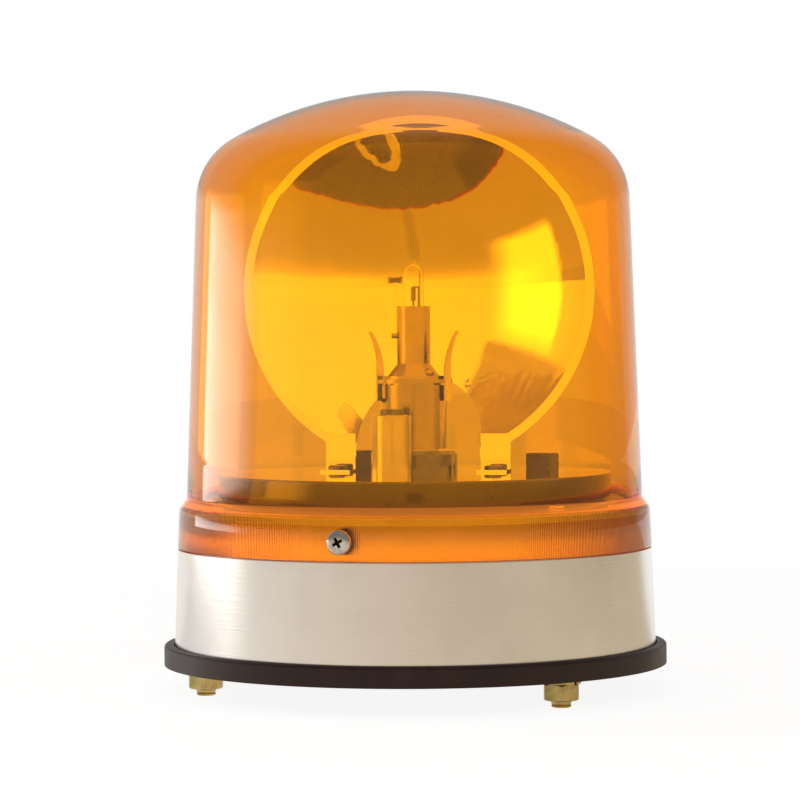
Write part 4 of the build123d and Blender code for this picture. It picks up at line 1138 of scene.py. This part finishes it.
@dataclass
class Fasteners(Assembly):
    """The lens screws, and the studs and nuts below the base."""

    lens_z: float = 41.4
    lens_seat_r: float = 72.81
    lens_first: float = -107.5
    lens_turn: float = 28.0
    stud_r: float = 3.0
    core_r: float = 2.75
    stud_bottom: float = -8.7
    stud_free_top: float = -6.9
    thread_depth: float = 0.32
    pitch: float = 1.0
    crest: float = 0.08
    tip_h: float = 0.35
    tip_edge: float = 0.1
    tip_inset: float = 0.15
    floor_top: float = 5.0
    flange_r: float = 6.5
    flange_top: float = 6.5
    flange_edge: float = 0.3
    stud_circle: float = 65.0
    stud_first: float = -49.2
    nut_sides: int = 6
    nut_flats: float = 10.0
    nut_bottom: float = -6.6
    nut_h: float = 5.0
    nut_turn: float = -10.8
    nut_edge: float = 0.25
    nut_chamfer: float = 0.62
    nut_spare: float = 0.02
    bore_flare: float = 0.55
    bore_flare_h: float = 0.5
    over: float = 1.0
    slab_t: float = 4.0
    slab_w: float = 14.0
    steps: int = 48
    nut_steps: int = 96
    count: int = 3

    def angle(self, first: float, k: int) -> float:
        """The direction of the k-th of three evenly spaced places, in radians."""
        return math.radians(first + 360.0 / self.count * k)

    def build(self) -> None:
        """Makes every fastener that shows from outside."""
        self.build_lens_screws()
        self.build_studs()
        self.build_nuts()

    def build_lens_screws(self) -> None:
        """Three screws that point out through the skirt."""
        pattern = PanScrew()
        first = pattern.build("lens_screw_1")
        dark = [face.index for face in first.data.polygons if pattern.in_recess(face.center)]
        screws = [first] + [Bench.copy(first, f"lens_screw_{k + 1}") for k in range(1, self.count)]
        for k, screw in enumerate(screws):
            place = Matrix.Translation((0.0, 0.0, self.lens_z * MM))
            place @= Matrix.Rotation(self.angle(self.lens_first, k), 4, "Z")
            place @= Matrix.Translation((self.lens_seat_r * MM, 0.0, 0.0))
            place @= Matrix.Rotation(math.pi / 2, 4, "Y")
            place @= Matrix.Rotation(math.radians(self.lens_turn), 4, "Z")
            screw.matrix_world = place
            Bench.settle(screw)
            self.add(screw, "base", "bright_screw", "lens_screws")
            # Painted shade: the faces inside the cross recess take the dark recess-shade material
            screw.data.materials.append(self.materials["screw_recess"])
            for index in dark:
                screw.data.polygons[index].material_index = 1

    def build_studs(self) -> None:
        """Three weld studs, threaded at their free ends."""
        low = self.stud_bottom
        valley = self.stud_r - self.thread_depth
        at = low + self.tip_h
        profile = [(0.0, low), (valley - self.tip_inset, low), (self.stud_r - self.tip_edge, at)]
        while at + self.pitch < self.stud_free_top:
            profile += [(self.stud_r, at + self.crest), (valley, at + self.pitch / 2)]
            profile += [(self.stud_r, at + self.pitch - self.crest)]
            at += self.pitch
        profile += [(self.stud_r, self.stud_free_top), (self.core_r, self.stud_free_top)]
        profile += [(self.core_r, self.floor_top), (self.flange_r, self.floor_top)]
        profile += [(self.flange_r, self.flange_top - self.flange_edge)]
        profile += [(self.flange_r - self.flange_edge, self.flange_top), (0.0, self.flange_top)]
        first = Bench.lathe("mounting_stud_1", profile, self.steps)
        self.set_round(first, "mounting_stud", "mounting_studs", 0.0)

    def build_nuts(self) -> None:
        """Three hexagon nuts, chamfered at both ends."""
        face_r = self.nut_flats / 2 - self.nut_edge
        corner = self.nut_flats / math.sqrt(3.0) + self.nut_spare
        barrel = [(0.0, 0.0), (face_r, 0.0), (corner, self.nut_chamfer)]
        barrel += [(corner, self.nut_h - self.nut_chamfer), (face_r, self.nut_h), (0.0, self.nut_h)]
        nut = Bench.lathe("mounting_nut_1", barrel, self.nut_steps)
        slab = (self.slab_t, self.slab_w, 3.0 * self.nut_h)
        reach = self.nut_flats / 2 + self.slab_t / 2
        for k in range(self.nut_sides):
            Bench.cut(nut, Bench.block(slab, 0.0, math.tau / self.nut_sides * k, reach))
        mouth = self.core_r + self.bore_flare
        bore = [(0.0, -self.over), (mouth, -self.over), (mouth, 0.0), (self.core_r, self.bore_flare_h)]
        bore += [(self.core_r, self.nut_h - self.bore_flare_h), (mouth, self.nut_h)]
        bore += [(0.0, self.nut_h + self.over)]
        Bench.cut(nut, Bench.lathe("bore", bore, self.steps))
        nut.location = (0.0, 0.0, self.nut_bottom * MM)
        Bench.settle(nut)
        self.set_round(nut, "mounting_nut", "mounting_nuts", self.nut_turn)

    def set_round(self, first: bpy.types.Object, name: str, node: str, turn: float) -> None:
        """Sets three copies of an upright piece on the studs' circle.

        Args:
            first: the piece, drawn on the Z axis.
            name: the copies' name.
            node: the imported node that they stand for.
            turn: how far each is turned on its own axis, in degrees.
        """
        pieces = [first] + [Bench.copy(first, f"{name}_{k + 1}") for k in range(1, self.count)]
        for k, piece in enumerate(pieces):
            place = Matrix.Rotation(self.angle(self.stud_first, k), 4, "Z")
            place @= Matrix.Translation((self.stud_circle * MM, 0.0, 0.0))
            place @= Matrix.Rotation(math.radians(turn), 4, "Z")
            piece.matrix_world = place
            Bench.settle(piece)
            self.add(piece, "base", "yellow_zinc", node)


# Studio
ROOM_STOPS: tuple[tuple[float, Colour], ...] = (
    (-180.0, (0.97, 0.95, 0.92)),
    (-134.0, (0.88, 0.84, 0.78)),
    (-131.0, (0.95, 0.93, 0.91)),
    (-92.0, (0.88, 0.84, 0.80)),
    (-56.0, (0.78, 0.70, 0.60)),
    (0.0, (0.68, 0.57, 0.45)),
    (42.0, (0.65, 0.55, 0.42)),
    (102.0, (0.63, 0.54, 0.39)),
    (134.0, (0.60, 0.50, 0.37)),
    (138.0, (0.97, 0.96, 0.93)),
    (180.0, (1.0, 1.0, 1.0)),
)


@dataclass(frozen=True)
class Softbox:
    """A soft rectangular lamp, aimed at a point."""

    name: str
    place: Place
    width: float
    height: float
    brightness: float
    colour: Colour
    aim: Place = (0.0, 0.0, 0.09)

    def set_up(self) -> None:
        """Adds the lamp to the scene."""
        data = bpy.data.lights.new(self.name, "AREA")
        data.shape = "RECTANGLE"
        data.size = self.width
        data.size_y = self.height
        data.color = self.colour
        data.energy = self.brightness * math.pi * self.width * self.height
        lamp = bpy.data.objects.new(self.name, data)
        bpy.context.scene.collection.objects.link(lamp)
        lamp.location = self.place
        direction = Vector(self.aim) - Vector(self.place)
        lamp.rotation_euler = direction.to_track_quat("-Z", "Y").to_euler()
        lamp.visible_glossy = False
        lamp.visible_transmission = False


LAMPS: tuple[Softbox, ...] = (
    Softbox("left_box", (-1.15, 0.1, 0.55), 1.2, 1.0, brightness=0.9, colour=(1.0, 0.97, 0.94)),
    Softbox("front_box", (-0.25, -1.55, 1.15), 2.0, 1.2, brightness=1.0, colour=(1.0, 0.98, 0.95)),
    Softbox("right_box", (1.35, -0.75, 0.95), 0.9, 0.9, brightness=0.8, colour=(1.0, 0.96, 0.92)),
)


@dataclass(frozen=True)
class Sector:
    """A stretch of the room, in degrees from the front and positive to the right."""

    start: float
    end: float
    soft: float
    soft_end: Optional[float] = None

    def share(self, desk: Desk, turn: bpy.types.NodeSocket) -> bpy.types.NodeSocket:
        """One inside the stretch and nought outside it.

        Args:
            desk: the desk of the floor's or the world's tree.
            turn: the direction round the object, in radians.

        Returns:
            The share, with soft ends.
        """
        last = self.soft if self.soft_end is None else self.soft_end
        edges = (self.start, self.end, self.soft, last)
        return desk.window(turn, *(math.radians(edge) for edge in edges))


@dataclass
class Studio:
    """Floor, world, lamps and camera.

    Distances on the floor are metres from the axis, heights in the room are shares of the straight
    way up, and levels are shares of white.
    """

    floor_z: float = -8.7
    camera_back: float = 1000.0
    camera_up: float = 103.6
    camera_side: float = -4.15
    pitch: float = -1.32
    roll: float = 0.35
    focal_pixels: float = 3250.0
    frame_pixels: float = 800.0
    sensor: float = 36.0
    clip_end: float = 20.0

    # What stands in the room
    left_box: Sector = Sector(-89.0, -63.0, 1.5, 9.0)
    low_strip: Sector = Sector(-133.75, -95.5, 1.25, 10.5)
    back_box: Sector = Sector(-146.0, -102.0, 2.0)
    dark_card: Sector = Sector(-96.0, -56.0, 2.0)
    tent_front: Sector = Sector(-100.0, 100.0, 12.0)
    dark_right: Sector = Sector(85.0, 155.0, 25.0)
    stand: Sector = Sector(-4.0, 4.0, 1.2)
    stand_leg: Sector = Sector(-15.5, -9.0, 1.0)
    tent: float = 1.2
    box_glow: float = 2.4
    strip_glow: float = 3.2

    # Floor
    floor_r: float = 6.0
    floor_steps: int = 96
    floor_grey: float = 0.28
    mirrored_grey: float = 0.02
    seen_level: Span = (0.3, 1.2, 0.90, 0.98)
    tent_starts: Rise = (0.3, 1.6)
    tent_turn: Rise = (0.0, 0.5)
    glass_level: float = 0.80
    box_starts: Rise = (0.28, 0.36)
    stand_reach: Band = (1.0, 1.9, 0.1)
    stand_shade: float = 0.9
    leg_shade: Span = (0.38, 0.48, 0.22, 0.0)
    bounced_level: float = 0.25
    strip_lift: Span = (0.8, 1.1, -0.25, 0.0)

    # World
    ceiling: Colour = (0.24, 0.22, 0.20)
    ceiling_starts: Rise = (0.05, 0.11)
    ceiling_back: Span = (0.1, 0.5, 1.0, 0.5)
    right_colour: Colour = (0.05, 0.05, 0.05)
    right_share: float = 0.6
    box_top: Span = (0.26, 0.46, 1.0, 0.0)
    back_box_top: Span = (0.1, 0.2, 1.0, 0.0)
    card_reach: Band = (0.42, 0.86, 0.03)
    card_shade: float = 0.95
    strip_ends: Rise = (0.055, 0.09)
    strip_foot: Span = (0.025, 0.05, 1.25, 1.0)
    bounced_cut: float = 0.5

    def build(self) -> None:
        """Sets up the studio."""
        self.set_floor()
        self.set_world()
        self.set_lamps()
        self.set_camera()
        bpy.context.scene.view_settings.view_transform = "Standard"

    def room_round(self, desk: Desk, turn: bpy.types.NodeSocket) -> bpy.types.NodeSocket:
        """The room's colour as metal and glass mirror it, by direction round the object.

        Args:
            desk: the desk of the floor's or the world's tree.
            turn: the direction, in radians from the front, positive to the right.

        Returns:
            The colour.
        """
        share = desk.add("MapRange", {"Value": turn, "From Min": -math.pi, "From Max": math.pi}).outputs[0]
        ramp = desk.add("ValToRGB", {"Fac": share})
        bar = ramp.color_ramp
        bar.elements[0].position = 0.0
        bar.elements[0].color = (*ROOM_STOPS[0][1], 1.0)
        bar.elements[-1].position = 1.0
        bar.elements[-1].color = (*ROOM_STOPS[-1][1], 1.0)
        for angle, colour in ROOM_STOPS[1:-1]:
            element = bar.elements.new((angle + 180.0) / 360.0)
            element.color = (*colour, 1.0)
        return ramp.outputs[0]

    def set_floor(self) -> None:
        """A pale floor that stays white to the camera but keeps the shadow."""
        Bench.clear_selection()
        bpy.ops.mesh.primitive_circle_add(
            vertices=self.floor_steps,
            radius=self.floor_r,
            fill_type="NGON",
            location=(0.0, 0.0, self.floor_z * MM),
        )
        floor = bpy.context.object
        floor.name = "floor"
        Bench.settle(floor)
        made = bpy.data.materials.new("PaleFloor")
        made.use_nodes = True
        made.node_tree.nodes.clear()
        desk = Desk(made.node_tree)
        x, y, _ = desk.split(desk.add("TexCoord").outputs["Object"])
        ahead = desk.maths("MULTIPLY", y, -1.0)
        turn = desk.maths("ARCTAN2", x, ahead)
        far = desk.reach(x, y)
        path = desk.add("LightPath")
        glass = path.outputs["Is Transmission Ray"]
        mirrored = desk.maths("GREATER_THAN", path.outputs["Is Glossy Ray"], glass)
        direct = desk.maths("MULTIPLY", path.outputs["Is Camera Ray"], desk.rise(far, *self.seen_level))
        facing = desk.rise(desk.maths("DIVIDE", ahead, far), *self.tent_turn)
        tent = desk.rise(far, *self.tent_starts, 0.0, self.tent)
        through = desk.maths("ADD", self.glass_level, desk.maths("MULTIPLY", tent, facing))
        box = desk.rise(far, *self.box_starts, 0.0, self.box_glow)
        box = desk.maths("MULTIPLY", self.left_box.share(desk, turn), box)
        through = desk.maths("ADD", through, box)
        stand = desk.maths("MULTIPLY", self.stand.share(desk, turn), desk.window(far, *self.stand_reach))
        leg = desk.maths("MULTIPLY", self.stand_leg.share(desk, turn), desk.rise(far, *self.leg_shade))
        dark = desk.maths("MAXIMUM", desk.maths("MULTIPLY", stand, self.stand_shade), leg)
        through = desk.maths("MULTIPLY", through, desk.maths("SUBTRACT", 1.0, dark))
        through = desk.maths("MULTIPLY", glass, through)
        bounced = desk.maths("MULTIPLY", path.outputs["Is Diffuse Ray"], self.bounced_level)
        strip = self.low_strip.share(desk, turn)
        shown = desk.maths("MULTIPLY_ADD", strip, desk.rise(far, *self.strip_lift), 1.0)
        shown = desk.maths("MULTIPLY", mirrored, shown)
        level = desk.maths("ADD", desk.maths("ADD", direct, through), desk.maths("ADD", shown, bounced))
        colour = desk.blend(mirrored, WHITE, self.room_round(desk, turn))
        darker = desk.maths("MULTIPLY", mirrored, self.floor_grey - self.mirrored_grey)
        shade = desk.maths("SUBTRACT", self.floor_grey, darker)
        grey = desk.add("CombineXYZ", {0: shade, 1: shade, 2: shade}).outputs[0]
        matt = desk.add("BsdfDiffuse", {"Color": grey})
        glow = desk.add("Emission", {"Color": colour, "Strength": level})
        both = desk.add("AddShader", {0: matt.outputs[0], 1: glow.outputs[0]})
        desk.add("OutputMaterial", {"Surface": both.outputs[0]})
        floor.data.materials.append(made)

    def set_world(self) -> None:
        """A room that is white behind the object, with a pale tent in front for what is under glass."""
        world = bpy.data.worlds.new("Studio")
        bpy.context.scene.world = world
        world.use_nodes = True
        world.node_tree.nodes.clear()
        desk = Desk(world.node_tree)
        x, y, z = desk.split(desk.add("TexCoord").outputs["Generated"])
        turn = desk.maths("ARCTAN2", x, desk.maths("MULTIPLY", y, -1.0))
        path = desk.add("LightPath")
        glass = path.outputs["Is Transmission Ray"]
        mirrored = desk.maths("GREATER_THAN", path.outputs["Is Glossy Ray"], glass)
        above = desk.maths("MULTIPLY", desk.rise(z, *self.ceiling_starts), desk.rise(y, *self.ceiling_back))
        right = desk.maths("MULTIPLY", self.dark_right.share(desk, turn), self.right_share)
        walls = desk.blend(right, self.room_round(desk, turn), self.right_colour)
        room = desk.blend(above, walls, self.ceiling)
        clear = desk.maths("MAXIMUM", path.outputs["Is Camera Ray"], glass)
        colour = desk.blend(clear, room, WHITE)
        tent = desk.maths("MULTIPLY", self.tent_front.share(desk, turn), self.tent)
        box = desk.maths("MULTIPLY", self.left_box.share(desk, turn), desk.rise(z, *self.box_top))
        side = desk.maths("MULTIPLY", self.back_box.share(desk, turn), desk.rise(z, *self.back_box_top))
        level = desk.maths("MULTIPLY_ADD", desk.maths("ADD", box, side), self.box_glow, tent)
        card = desk.maths("MULTIPLY", self.dark_card.share(desk, turn), desk.window(z, *self.card_reach))
        kept = desk.maths("SUBTRACT", 1.0, desk.maths("MULTIPLY", card, self.card_shade))
        level = desk.maths("MULTIPLY", desk.maths("MULTIPLY", level, kept), glass)
        strip = desk.rise(z, *self.strip_ends, self.strip_glow, 0.0)
        strip = desk.maths("MULTIPLY", self.low_strip.share(desk, turn), strip)
        strip = desk.maths("MULTIPLY", strip, desk.rise(z, *self.strip_foot))
        level = desk.maths("MULTIPLY_ADD", strip, mirrored, level)
        cut = desk.maths("MULTIPLY", path.outputs["Is Diffuse Ray"], self.bounced_cut)
        soft = desk.maths("SUBTRACT", 1.0, cut)
        back = desk.add("Background", {"Color": colour, "Strength": desk.maths("ADD", soft, level)})
        desk.add("OutputWorld", {"Surface": back.outputs[0]})

    def set_lamps(self) -> None:
        """Soft lamps at the left, in front above and at the right."""
        for lamp in LAMPS:
            lamp.set_up()

    def set_camera(self) -> None:
        """The photograph's camera."""
        data = bpy.data.cameras.new("camera")
        data.sensor_width = self.sensor
        data.lens = self.focal_pixels * self.sensor / self.frame_pixels
        data.clip_end = self.clip_end
        camera = bpy.data.objects.new("camera", data)
        bpy.context.scene.collection.objects.link(camera)
        camera.location = (self.camera_side * MM, -self.camera_back * MM, self.camera_up * MM)
        camera.rotation_mode = "XYZ"
        camera.rotation_euler = (math.radians(90.0 + self.pitch), math.radians(self.roll), 0.0)
        bpy.context.scene.camera = camera


def main() -> None:
    """Builds the beacon's looks and the studio."""
    logging.basicConfig(level=logging.INFO, format="%(name)s: %(message)s")
    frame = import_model()
    effects = Effects()
    materials = {slot: finish.material(effects) for slot, finish in FINISHES.items()}
    for kind in (Dome, Base, Fasteners, Drive, Rotor, Lamp):
        kind(frame, materials).build()
    Studio().build()


if __name__ == "__main__":
    main()
